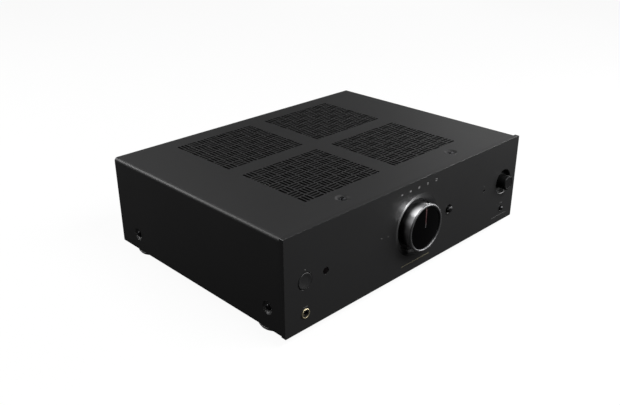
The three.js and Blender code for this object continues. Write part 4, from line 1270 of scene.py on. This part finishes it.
# ------------------------------------------------------------------ signal sockets
solid("rca_housing", block(rca_lo, (rca_hi.x, 313.1, rca_hi.z), 0.8), "moulded_black",
      "moulded_black", "rca_socket_block")
rca_shell = [
    (3.3, 313.15), (4.25, 313.15), (4.25, 314.75), (6.0, 314.75), (6.2, 314.95), (6.2, 315.5),
    (6.0, 315.7), (4.3, 315.7), (4.15, 315.9), (4.15, 324.6), (4.0, 324.95), (3.75, 325.0),
    (3.5, 324.9), (3.3, 324.6), (3.3, 313.15)]
rca_insert = [
    (0.85, 320.6), (1.0, 320.9), (1.7, 321.0), (3.0, 321.0), (3.28, 320.7), (3.28, 314.0),
    (1.55, 314.0), (1.55, 318.6), (0.85, 318.6), (0.85, 320.6)]
solid("rca_shells", joined([lathe("Y", on_face(x, z), rca_shell, 40)
                            for x in RCA_X for z in (RCA_TOP, RCA_BOTTOM)]),
      "gold_plate", "gold")
for channel, z, finish in (("left", RCA_TOP, "white_insulator"),
                           ("right", RCA_BOTTOM, "red_insulator")):
    solid("rca_inserts_%s_channel" % channel,
          joined([lathe("Y", on_face(x, z), rca_insert, 36) for x in RCA_X]), finish)

# digital block: a square optical socket beside a coaxial one
digital_z = (digital_lo.z + digital_hi.z) / 2
optical, coaxial = on_face(digital_lo.x + 13, digital_z), on_face(digital_hi.x - 11, digital_z)
digital_front, _ = plate_shape(
    round_rect(digital_lo.x, digital_lo.z, digital_hi.x, digital_hi.z, 1.2, 4),
    [(centred_rect(optical, 5.5, 5.5, 1.4), 0.5)],
    digital_hi.y if digital_hi.y < 316 else 315.6, 306.0, ease=0.6, steps=3)
digital_rest = block((digital_lo.x, 298.0, digital_lo.z), (digital_hi.x, 305.95, digital_hi.z), 0.5)
solid("digital_housing", joined([digital_front, digital_rest]), "moulded_black",
      "moulded_black", "digital_socket_block", angle=40)
coaxial_shell = [
    (0, 315.3), (5.0, 315.3), (5.2, 315.6), (5.2, 316.3), (5.0, 316.6), (4.15, 316.6),
    (4.15, 324.7), (3.9, 325.0), (3.5, 325.0), (3.3, 324.7), (3.3, 317.0), (0, 317.0)]
solid("coaxial_shell", lathe("Y", coaxial, coaxial_shell, 40), "gold_plate", "gold")
coaxial_insert = [
    (0.85, 320.6), (1.7, 321.0), (3.28, 321.0), (3.28, 317.05), (1.55, 317.05), (1.55, 318.6),
    (0.85, 318.6), (0.85, 320.6)]
solid("coaxial_insert", lathe("Y", coaxial, coaxial_insert, 36), "chip_moulding")
solid("optical_shutter", joined([
    block((optical.x - half, y0, optical.z - half), (optical.x + half, y1, optical.z + half), 0.4)
    for half, y0, y1 in ((5.2, 307.5, 308.6), (1.2, 306.2, 308.9))]),
    "chip_moulding", "moulded_black")

# antenna connector
antenna_profile = [(0, 300), (3.0, 300), (3.3, 300.4), (3.3, 314.7), (7, 314.95), (7, 316.6),
                   (6.7, 317.0), (4.8, 317.0)]
for k in range(11):     # thread
    y = 317.5 + k * 0.75
    antenna_profile += [(4.8, y), (4.45, y + 0.38)]
antenna_profile += [(4.8, 325.7), (4.5, 326.0), (4.1, 326.0), (3.9, 325.7), (3.9, 318.0), (0, 318.0)]
solid("antenna_barrel", lathe("Y", antenna, antenna_profile, 56), "bright_nickel",
      "shaft_metal", "antenna_connector")
antenna_nut, _ = plate_shape(fixed_outline(circle(antenna.x, antenna.z, 6.4, 6)),
                             [(disc(antenna, 4.85, 40), 0)], 319.4, 317.05, ease=0, steps=1)
add_bevel(solid("antenna_hex_nut", antenna_nut, "bright_nickel", "shaft_metal", angle=30), 0.25)
antenna_insulator = [(0.9, 323.2), (1.2, 323.5), (3.5, 323.5), (3.85, 323.2), (3.85, 318.05),
                     (0.9, 318.05), (0.9, 323.2)]
solid("antenna_insulator", lathe("Y", antenna, antenna_insulator, 36), "white_insulator")

# ------------------------------------------------------------------ transformer
transformer = cad_centre("toroidal_transformer")
toroid_profile = rounded_ring(
    [(21, 18), (26, 16.7), (53, 16.7), (60.2, 24), (60.6, 42), (60.2, 60), (53, 67.3),
     (26, 67.3), (21, 66)], [3, 7, 9, 10, 30, 10, 9, 7, 3], 5)


def taped(r, h, t):
    """Overlapping turns of tape: a shallow saw-tooth of 46 turns round the ring."""
    turn = (t / (2 * math.pi) * 46 + (h - 16.7) * 0.012) % 1.0
    return r + (0.28 * turn - 0.28 if r > 40 else -0.2 * turn)


solid("wound_toroid", lathe("Z", transformer, toroid_profile, 276, taped), "transformer_tape",
      "transformer_wrap", "toroidal_transformer", angle=25)
clamp_profile = rounded(
    [(0, 15.3), (3.5, 15.3), (3.5, 67.9), (29, 67.9), (32, 68.8), (32, 69.6), (29.5, 70.2),
     (12, 69.2), (6.5, 69.2), (0, 69.2)], [0, 0, 0.3, 0.8, 0.4, 0.4, 1.5, 1.5, 0, 0])
solid("transformer_dish", lathe("Z", transformer, clamp_profile, 96), "zinc_plated_steel",
      "zinc_steel", "transformer_clamp")
bolt_end = [(0, 73.1), (2.6, 73.1), (2.9, 73.6), (2.7, 75.0), (0, 75.0)]
bolt = joined([prism(circle(transformer.x, transformer.y, 5.6, 6, 0.2), "Z", 69.3, 73.2),
               lathe("Z", transformer, bolt_end, 32)])
add_bevel(solid("transformer_bolt", bolt, "zinc_plated_steel", "zinc_steel", angle=30), 0.3)
pad_profile = [(22, 67.45), (34, 67.45), (34, 67.85), (22, 67.85), (22, 67.45)]
solid("transformer_pad", lathe("Z", transformer, pad_profile, 72), "foot_rubber",
      "foot_rubber", angle=30)

# ------------------------------------------------------------------ filter capacitors
for side, _ in SIDES:
    node = "filter_capacitor_" + side
    c = cad_centre(node)
    can_lo, can_hi = cad_box(node)
    radius, top = (can_hi.x - can_lo.x) / 2, can_hi.z
    can = rounded(
        [(0, can_lo.z), (radius - 0.5, can_lo.z), (radius, can_lo.z + 0.7), (radius, top - 6.4),
         (radius - 1.1, top - 5.2), (radius, top - 4.0), (radius, top - 0.8), (radius - 1.0, top),
         (radius - 1.8, top - 0.25), (radius - 1.8, top - 0.5)],
        [0, 0.4, 0.4, 0.6, 0.8, 0.6, 0.5, 0.4, 0.1, 0])
    solid("capacitor_can_" + side, lathe("Z", c, can + [(0, top - 0.5)], 72),
          "capacitor_sleeve", "capacitor_sleeve", node, angle=40)
    # the bare top with a raised cross
    reach = radius * 0.62
    lid = [(0, top - 0.46), (radius - 1.9, top - 0.46), (radius - 1.9, top - 0.4), (0, top - 0.4)]
    solid("capacitor_vent_" + side, joined([
        lathe("Z", c, lid, 72),
        block((c.x - reach, c.y - 0.45, top - 0.52), (c.x + reach, c.y + 0.45, top - 0.2), 0.15),
        block((c.x - 0.45, c.y - reach, top - 0.52), (c.x + 0.45, c.y + reach, top - 0.21), 0.15)]),
        "bare_aluminium", "capacitor_sleeve", angle=30)

# ------------------------------------------------------------------ amplifier board
board_z = cad_box("amplifier_board")[1].z


def small_can(x, y, radius, height):
    z = board_z + 0.05
    profile = [(0, z), (radius - 0.2, z), (radius, z + 0.3), (radius, z + height * 0.82),
               (radius - 0.3, z + height * 0.86), (radius, z + height * 0.9),
               (radius, z + height - 0.3), (radius - 0.4, z + height), (0, z + height - 0.15)]
    return lathe("Z", (x, y), rounded(profile, [0, 0.1, 0.1, 0.1, 0.1, 0.1, 0.2, 0.2, 0], 2), 28)


def resistor(x, y, length=6.4, r=1.25):
    """A resistor's waisted body and its lead, lying along x."""
    body = [(0, -length / 2), (r * 0.8, -length / 2), (r, -length / 2 + r * 0.4),
            (r, -length / 4), (r * 0.82, -length / 6)]
    body += [(radius, -along) for radius, along in reversed(body)]
    lead = [(0, -length * 0.9), (0.3, -length * 0.9), (0.3, length * 0.9), (0, length * 0.9)]
    centre = (x, y, board_z + r + 0.2)
    return [lathe("X", centre, [(radius, along + x) for radius, along in profile], count)
            for profile, count in ((body, 16), (lead, 8))]


def chip_pins(x, y, half_depth=3.2, pitch=2.54):
    """Four pins along each long side of a chip."""
    pins = []
    for i in range(4):
        pin_x = x - 3 * pitch / 2 + i * pitch
        for y0 in (y - half_depth - 1.1, y + half_depth):
            pins.append(block((pin_x - 0.2, y0, board_z + 0.02),
                              (pin_x + 0.2, y0 + 1.1, board_z + 0.4), 0.05, 1))
    return pins


LARGE_CANS = [(28, 90), (122, 90), (28, 210), (122, 210), (75, 88), (75, 215), (60, 232), (90, 232)]
SMALL_CANS = [(-36, 100), (-36, 140), (-36, 180), (186, 100), (186, 140), (186, 180),
              (-20, 244), (20, 244), (130, 244), (170, 244)]
CHIPS = [(60, 202), (96, 202), (75, 160)]
CONNECTORS = [(-20, 66, 2, 73), (60, 240, 90, 247), (150, 66, 172, 73)]     # x0, y0, x1, y1
cans = [small_can(x, y, 4.0, 12) for x, y in LARGE_CANS]
cans += [small_can(x, y, 2.5, 8) for x, y in SMALL_CANS]
resistors = [resistor(20 + i * 22, 172 + j * 7) for i in range(6) for j in range(4)]
resistors += [resistor(24 + i * 25, 74 + j * 6) for i in range(5) for j in range(3)]
chips = [block((x - 5, y - 3.2, board_z + 0.3), (x + 5, y + 3.2, board_z + 3.4), 0.15)
         for x, y in CHIPS]
connectors = [block((x0, y0, board_z + 0.02), (x1, y1, board_z + 9), 0.4)
              for x0, y0, x1, y1 in CONNECTORS]
for name, shapes, finish, slot in (
        ("small_capacitors", cans, "capacitor_sleeve", "capacitor_sleeve"),
        ("chips", chips, "chip_moulding", "moulded_black"),
        ("chip_pins", [pin for x, y in CHIPS for pin in chip_pins(x, y)], "tinned_metal", None),
        ("resistors", [body for body, _ in resistors], "resistor_lacquer", None),
        ("resistor_leads", [lead for _, lead in resistors], "tinned_metal", None),
        ("connectors", connectors, "white_insulator", None)):
    solid("board_" + name, joined(shapes), finish, slot)

# power devices, each with five legs and a screw on its inner side
for side, sign in SIDES:
    low, high = cad_box("output_device_" + side)
    solid("power_device_" + side, block(low, high, 0.5), "chip_moulding", "moulded_black",
          "output_device_" + side)
    x = (low.x + high.x) / 2
    solid("power_device_legs_" + side, joined([
        block((x - 0.4, low.y + 4 + 5.0 * k, board_z + 0.05),
              (x + 0.4, low.y + 5.2 + 5.0 * k, low.z + 0.5), 0.1, 1) for k in range(5)]),
        "tinned_metal")
    screw_x = high.x + 0.02 if side == "left" else low.x - 0.02
    screw("power_device_screw_" + side, (screw_x, (low.y + high.y) / 2, high.z - 5), "X", -sign,
          slot=None, radius=2.6, height=1.4, shank=1.2, length=4.6)
    add_bevel(NODES["heatsink_" + side], 0.25, 1)

# ------------------------------------------------------------------ control board
board_chips, board_pins = [], []
for x, z, size in ((-60, 60, 12), (20, 90, 9), (110, 50, 8)):
    half = size / 2
    board_chips.append(block((x - half, 20.9, z - half), (x + half, 21.95, z + half), 0.15))
    for i in range(8):
        pin_x = x - half + size * (i + 0.5) / 8
        board_pins.append(block((pin_x - 0.2, 21.6, z - half - 1.0),
                                (pin_x + 0.2, 21.98, z + half + 1.0), 0.04, 1))
for i in range(1, 13):      # small parts in two staggered rows
    x, z = -180 + i * 27.0, 100 if i % 2 else 36
    board_chips.append(block((x - 1.6, 21.0, z - 0.8), (x + 1.6, 21.95, z + 0.8), 0.1, 1))
solid("control_board_chips", joined(board_chips), "chip_moulding")
solid("control_board_pins", joined(board_pins), "tinned_metal")

# ------------------------------------------------------------------ mains wiring
# two insulated leads twisted round one path of (x, y, z)
WIRE_PATH = [(-172, 293.6, 42), (-172, 283, 41.2), (-172, 270, 39.6), (-169.5, 252, 34.5),
             (-165, 235, 30), (-158.5, 219, 26.2), (-150, 205, 24.2), (-143, 199, 24),
             (-136.2, 196, 24)]
LEAD_RADIUS, LEAD_OFFSET, LEAD_TWISTS, LEAD_SIDES = 1.25, 1.28, 7, 14


def smooth_path(points, steps):
    """A curve through the points, with a number of steps between each two."""
    knots = [Vector(p) for p in points]
    out = []
    for i in range(len(knots) - 1):
        p0, p1 = knots[max(i - 1, 0)], knots[i]
        p2, p3 = knots[i + 1], knots[min(i + 2, len(knots) - 1)]
        for k in range(steps):
            t = k / steps
            out.append(0.5 * ((2 * p1) + (p2 - p0) * t + (2 * p0 - 5 * p1 + 4 * p2 - p3) * t * t
                              + (3 * p1 - p0 - 3 * p2 + p3) * t ** 3))
    return out + [knots[-1]]


def twisted_lead(path, phase):
    verts, rings = [], []
    last = len(path) - 1
    for i, point in enumerate(path):
        ahead = (path[min(i + 1, last)] - path[max(i - 1, 0)]).normalized()
        across = ahead.cross(Vector((0, 0, 1))).normalized()
        above = across.cross(ahead).normalized()
        turn = phase + LEAD_TWISTS * 2 * math.pi * i / last
        centre = point + (across * math.cos(turn) + above * math.sin(turn)) * LEAD_OFFSET
        start = len(verts)
        for k in range(LEAD_SIDES):
            t = 2 * math.pi * k / LEAD_SIDES
            spoke = across * math.cos(t) + above * math.sin(t)
            verts.append(tuple(centre + spoke * LEAD_RADIUS))
        rings.append(list(range(start, len(verts))))
    faces = [quad for a, b in zip(rings, rings[1:]) for quad in band(a, b)]
    return outward(verts, faces + [tuple(reversed(rings[0])), tuple(rings[-1])])


wire_path = smooth_path(WIRE_PATH, 12)
solid("mains_lead_brown", twisted_lead(wire_path, 0.0), "brown_insulation", "cable_sleeve",
      "mains_wiring", angle=60)
solid("mains_lead_blue", twisted_lead(wire_path, math.pi), "blue_insulation", "cable_sleeve",
      angle=60)

# ------------------------------------------------------------------ parts behind the controls
for node, width in (("volume_potentiometer", 0.5), ("selector_encoder", 0.4),
                    ("volume_nut", 0.3), ("selector_nut", 0.3), ("power_switch", 0.5)):
    add_bevel(NODES[node], width, 2, 50)
for name, node, centre, drop in (
        ("volume_control_lugs", "volume_potentiometer", knob, 13),
        ("selector_lugs", "selector_encoder", selector, 6.5)):
    back, z = cad_box(node)[1].y, centre.z - drop
    solid(name, joined([
        block((centre.x + off - 0.6, back - 3.0, z - 3.4),
              (centre.x + off + 0.6, back - 2.4, z + 0.3), 0.1, 1) for off in (-5, 0, 5)]),
        "tinned_metal")

# ------------------------------------------------------------------ finishes of the CAD nodes
SLOT_FINISH = {
    "front_plate": "anodised_plate", "cover_paint": "textured_cover_paint",
    "black_steel": "black_painted_steel", "zinc_steel": "zinc_plated_steel",
    "black_screw": "blackened_screw", "knob_metal": "turned_knob_metal",
    "gloss_face": "black_gloss_face", "pointer_red": "pointer_red_to_grey",
    "shaft_metal": "steel_shaft", "button_metal": "turned_button_metal",
    "moulded_black": "moulded_black", "foot_rubber": "foot_rubber",
    "bright_ring": "bright_foot_ring", "gold": "gold_plate", "smoked_lens": "smoked_window",
    "clear_pipe": "clear_light_pipe", "circuit_board": "solder_mask",
    "transformer_wrap": "transformer_tape", "capacitor_sleeve": "capacitor_sleeve",
    "heatsink_black": "black_anodised_extrusion", "post_red": "clear_red_cap",
    "post_black": "clear_black_cap", "cable_sleeve": "cable_sleeve", "ribbon_grey": "ribbon_grey",
}
node_slots = {}
for entry in frame["record"].get("materials", []):
    for node in entry.get("nodes") or entry.get("subparts") or []:
        node_slots[node] = entry["slot"]
for entry in frame["record"].get("subparts", []):
    if entry.get("material_slot"):
        node_slots[entry["node"]] = entry["material_slot"]
for node, cad_object in NODES.items():
    slot = node_slots.get(node)
    cad_object.data.materials.clear()
    cad_object.data.materials.append(MATERIALS[SLOT_FINISH.get(slot, "moulded_black")])

# ------------------------------------------------------------------ stage (metres from here on)
scene = bpy.context.scene


def add_floor(radius=4.0, z=-0.0002, glow=0.94):
    """Pale to the camera and dim to all other rays, so that the black finishes stay black."""
    tree, shader = new_material("pale_floor")
    output = shader.outputs[0].links[0].to_node
    camera_ray = add_node(tree, "LightPath").outputs["Is Camera Ray"]
    colour = mix_colour(tree, camera_ray, (0.03, 0.03, 0.03, 1), (0.9, 0.9, 0.9, 1))
    set_inputs(tree, shader, {"Roughness": 0.9, "Specular IOR Level": 0.0, "Base Color": colour})
    emission = add_node(tree, "Emission", {"Strength": 1.0})
    mixed = add_node(tree, "MixShader", {
        0: multiply(tree, camera_ray, glow), 1: shader.outputs[0], 2: emission.outputs[0]})
    set_inputs(tree, output, {0: mixed.outputs[0]})
    mesh = bpy.data.meshes.new("floor")
    ring = [(x, y, z) for x, y in circle(0, 0, radius, 64)]
    mesh.from_pydata(ring, [], [tuple(range(64))])
    mesh.materials.append(MATERIALS["pale_floor"])
    floor = bpy.data.objects.new("floor", mesh)
    scene.collection.objects.link(floor)


def add_world():
    """White to the camera, almost dark as a light."""
    world = bpy.data.worlds.new("studio")
    scene.world = world
    world.use_nodes = True
    tree = world.node_tree
    tree.nodes.clear()
    seen, lighting = (add_node(tree, "Background", {0: (1, 1, 1, 1), 1: strength})
                      for strength in (1.0, 0.02))
    camera_ray = add_node(tree, "LightPath").outputs["Is Camera Ray"]
    mixed = add_node(tree, "MixShader", {
        0: camera_ray, 1: lighting.outputs[0], 2: seen.outputs[0]})
    add_node(tree, "OutputWorld", {0: mixed.outputs[0]})


add_floor()
add_world()


# ------------------------------------------------------------------ lights
def add_light(name, kind, location, direction=None, lit=(), **settings):
    """A lamp. If lit names pieces, it lights only those."""
    data = bpy.data.lights.new(name, kind)
    for key, value in settings.items():
        setattr(data, key, value)
    lamp = bpy.data.objects.new(name, data)
    scene.collection.objects.link(lamp)
    lamp.location = location
    if direction is not None:
        lamp.rotation_mode = "QUATERNION"
        lamp.rotation_quaternion = direction.to_track_quat("-Z", "Y")
    if lit:
        receivers = bpy.data.collections.new(name + "_receivers")
        for piece in lit:
            receivers.objects.link(bpy.data.objects[piece])
        lamp.light_linking.receiver_collection = receivers
    return lamp


# name, place, aim, width, height, watts, the only pieces lit (none: all)
AREA_LIGHTS = [
    ("key_front_above", (0.16, -0.98, 1.24), (0, -0.1, 0.07), 0.95, 0.5, 27.5, ()),
    ("right_soft", (1.6, 0.45, 0.75), (0, 0, 0.1), 0.9, 0.7, 2.0, ()),
    ("right_back_low", (1.55, 1.2, 0.25), (-0.1, -0.13, 0.12), 0.7, 0.4, 0.6, ()),
    ("back_soft", (0.4, 1.5, 1.35), (0, 0, 0.1), 0.9, 0.7, 2.2, ()),
    ("back_left_strip", (-0.86, 1.2, 0.95), (-0.2, 0.0, 0.12), 0.9, 0.4, 14.5, ()),
    ("front_right_fill", (1.0, -0.68, 0.42), (0.17, -0.17, 0.07), 0.6, 0.6, 12.0, ()),
    ("left_fill", (-1.45, 0.95, 1.0), (-0.1, -0.05, 0.06), 0.8, 0.8, 5.5, ()),
    ("knob_strip", (-0.15, -0.95, 1.25), (0, -0.17, 0.07), 1.7, 0.5, 12.0, ("knob_shell",)),
    ("knob_left", (-1.15, -1.05, 0.85), (0, -0.17, 0.07), 0.5, 0.5, 12.0, ("knob_shell",)),
    ("knob_overhead", (-0.2, -0.36, 1.2), (0, -0.17, 0.07), 1.2, 0.35, 13.0, ("knob_shell",)),
    ("button_strip", (-0.15, -0.95, 1.25), (0, -0.17, 0.07), 0.8, 0.5, 2.0,
     ("mute_push_button", "pairing_push_button")),
]
for name, place, aim, width, height, watts, lit in AREA_LIGHTS:
    add_light(name, "AREA", place, Vector(aim) - Vector(place), lit, energy=watts,
              shape="RECTANGLE", size=width, size_y=height, spread=math.pi)

# a pin-point lamp at the upper left of the knob recess's rim
PIN_RADIUS, PIN_Y, PIN_ANGLE = 0.0350, -0.1690, math.radians(121)
pin_place = (knob.x / 1000 + PIN_RADIUS * math.cos(PIN_ANGLE), PIN_Y,
             knob.z / 1000 + PIN_RADIUS * math.sin(PIN_ANGLE))
pin = add_light("recess_rim_lamp", "POINT", pin_place, lit=("knob_recess_rim",),
                energy=0.09, shadow_soft_size=0.003)
pin.visible_camera = False


def recess_spot(name, target, towards_lamp, distance, watts, cone, piece):
    """A small lamp with a narrow cone in degrees, aimed at one pressed screw recess."""
    unit = Vector(towards_lamp).normalized()
    lamp = add_light(name, "SPOT", Vector(to_world(target)) + unit * distance, -unit, (piece,),
                     energy=watts, spot_size=math.radians(cone), spot_blend=0.6,
                     shadow_soft_size=0.01)
    lamp.visible_camera = False


for side, _ in SIDES:
    c = cad_centre("cover_screw_top_" + side)
    recess_spot("recess_spot_top_" + side, (c.x - 3.0, c.y - 2.4, cover_hi.z),
                (0.77, 0.62, 0.06), distance=0.16, watts=0.05, cone=9,
                piece="recess_paint_top_" + side)
for end in ENDS:
    c = cad_centre("cover_screw_side_left_" + end)
    recess_spot("recess_spot_side_" + end, (-cover_hi.x, c.y, c.z - 3.0),
                (-0.66, 0.56, 0.51), distance=0.25, watts=1.3, cone=6,
                piece="recess_paint_side_left_" + end)

# ------------------------------------------------------------------ camera
camera_data = bpy.data.cameras.new("photo_camera")
camera_data.lens = 42.68
camera_data.sensor_width = 36.0
camera_data.clip_start = 0.01
camera_data.clip_end = 50
camera = bpy.data.objects.new("photo_camera", camera_data)
scene.collection.objects.link(camera)
CAMERA_RIGHT = Vector((0.71675932, -0.69729407, -0.00608805))
CAMERA_UP = Vector((0.29566, 0.29598, 0.90828))
CAMERA_FORWARD = Vector((0.63153778, 0.6528197, -0.41831385))
# measured from the middle of the front plate's lower front edge
CAMERA_PLACE = Vector((-0.63832, -0.47594, 0.45149))
camera_turn = Matrix((CAMERA_RIGHT, CAMERA_UP, -CAMERA_FORWARD)).transposed().to_4x4()
plate_edge = Vector((0.0, PANEL_CORNER.y, PANEL_CORNER.z))
camera.matrix_world = Matrix.Translation(CAMERA_PLACE + plate_edge) @ camera_turn
scene.camera = camera
scene.view_settings.view_transform = "Standard"
scene.view_settings.look = "None"
scene.view_settings.exposure = 0.0
scene.view_settings.gamma = 1.0
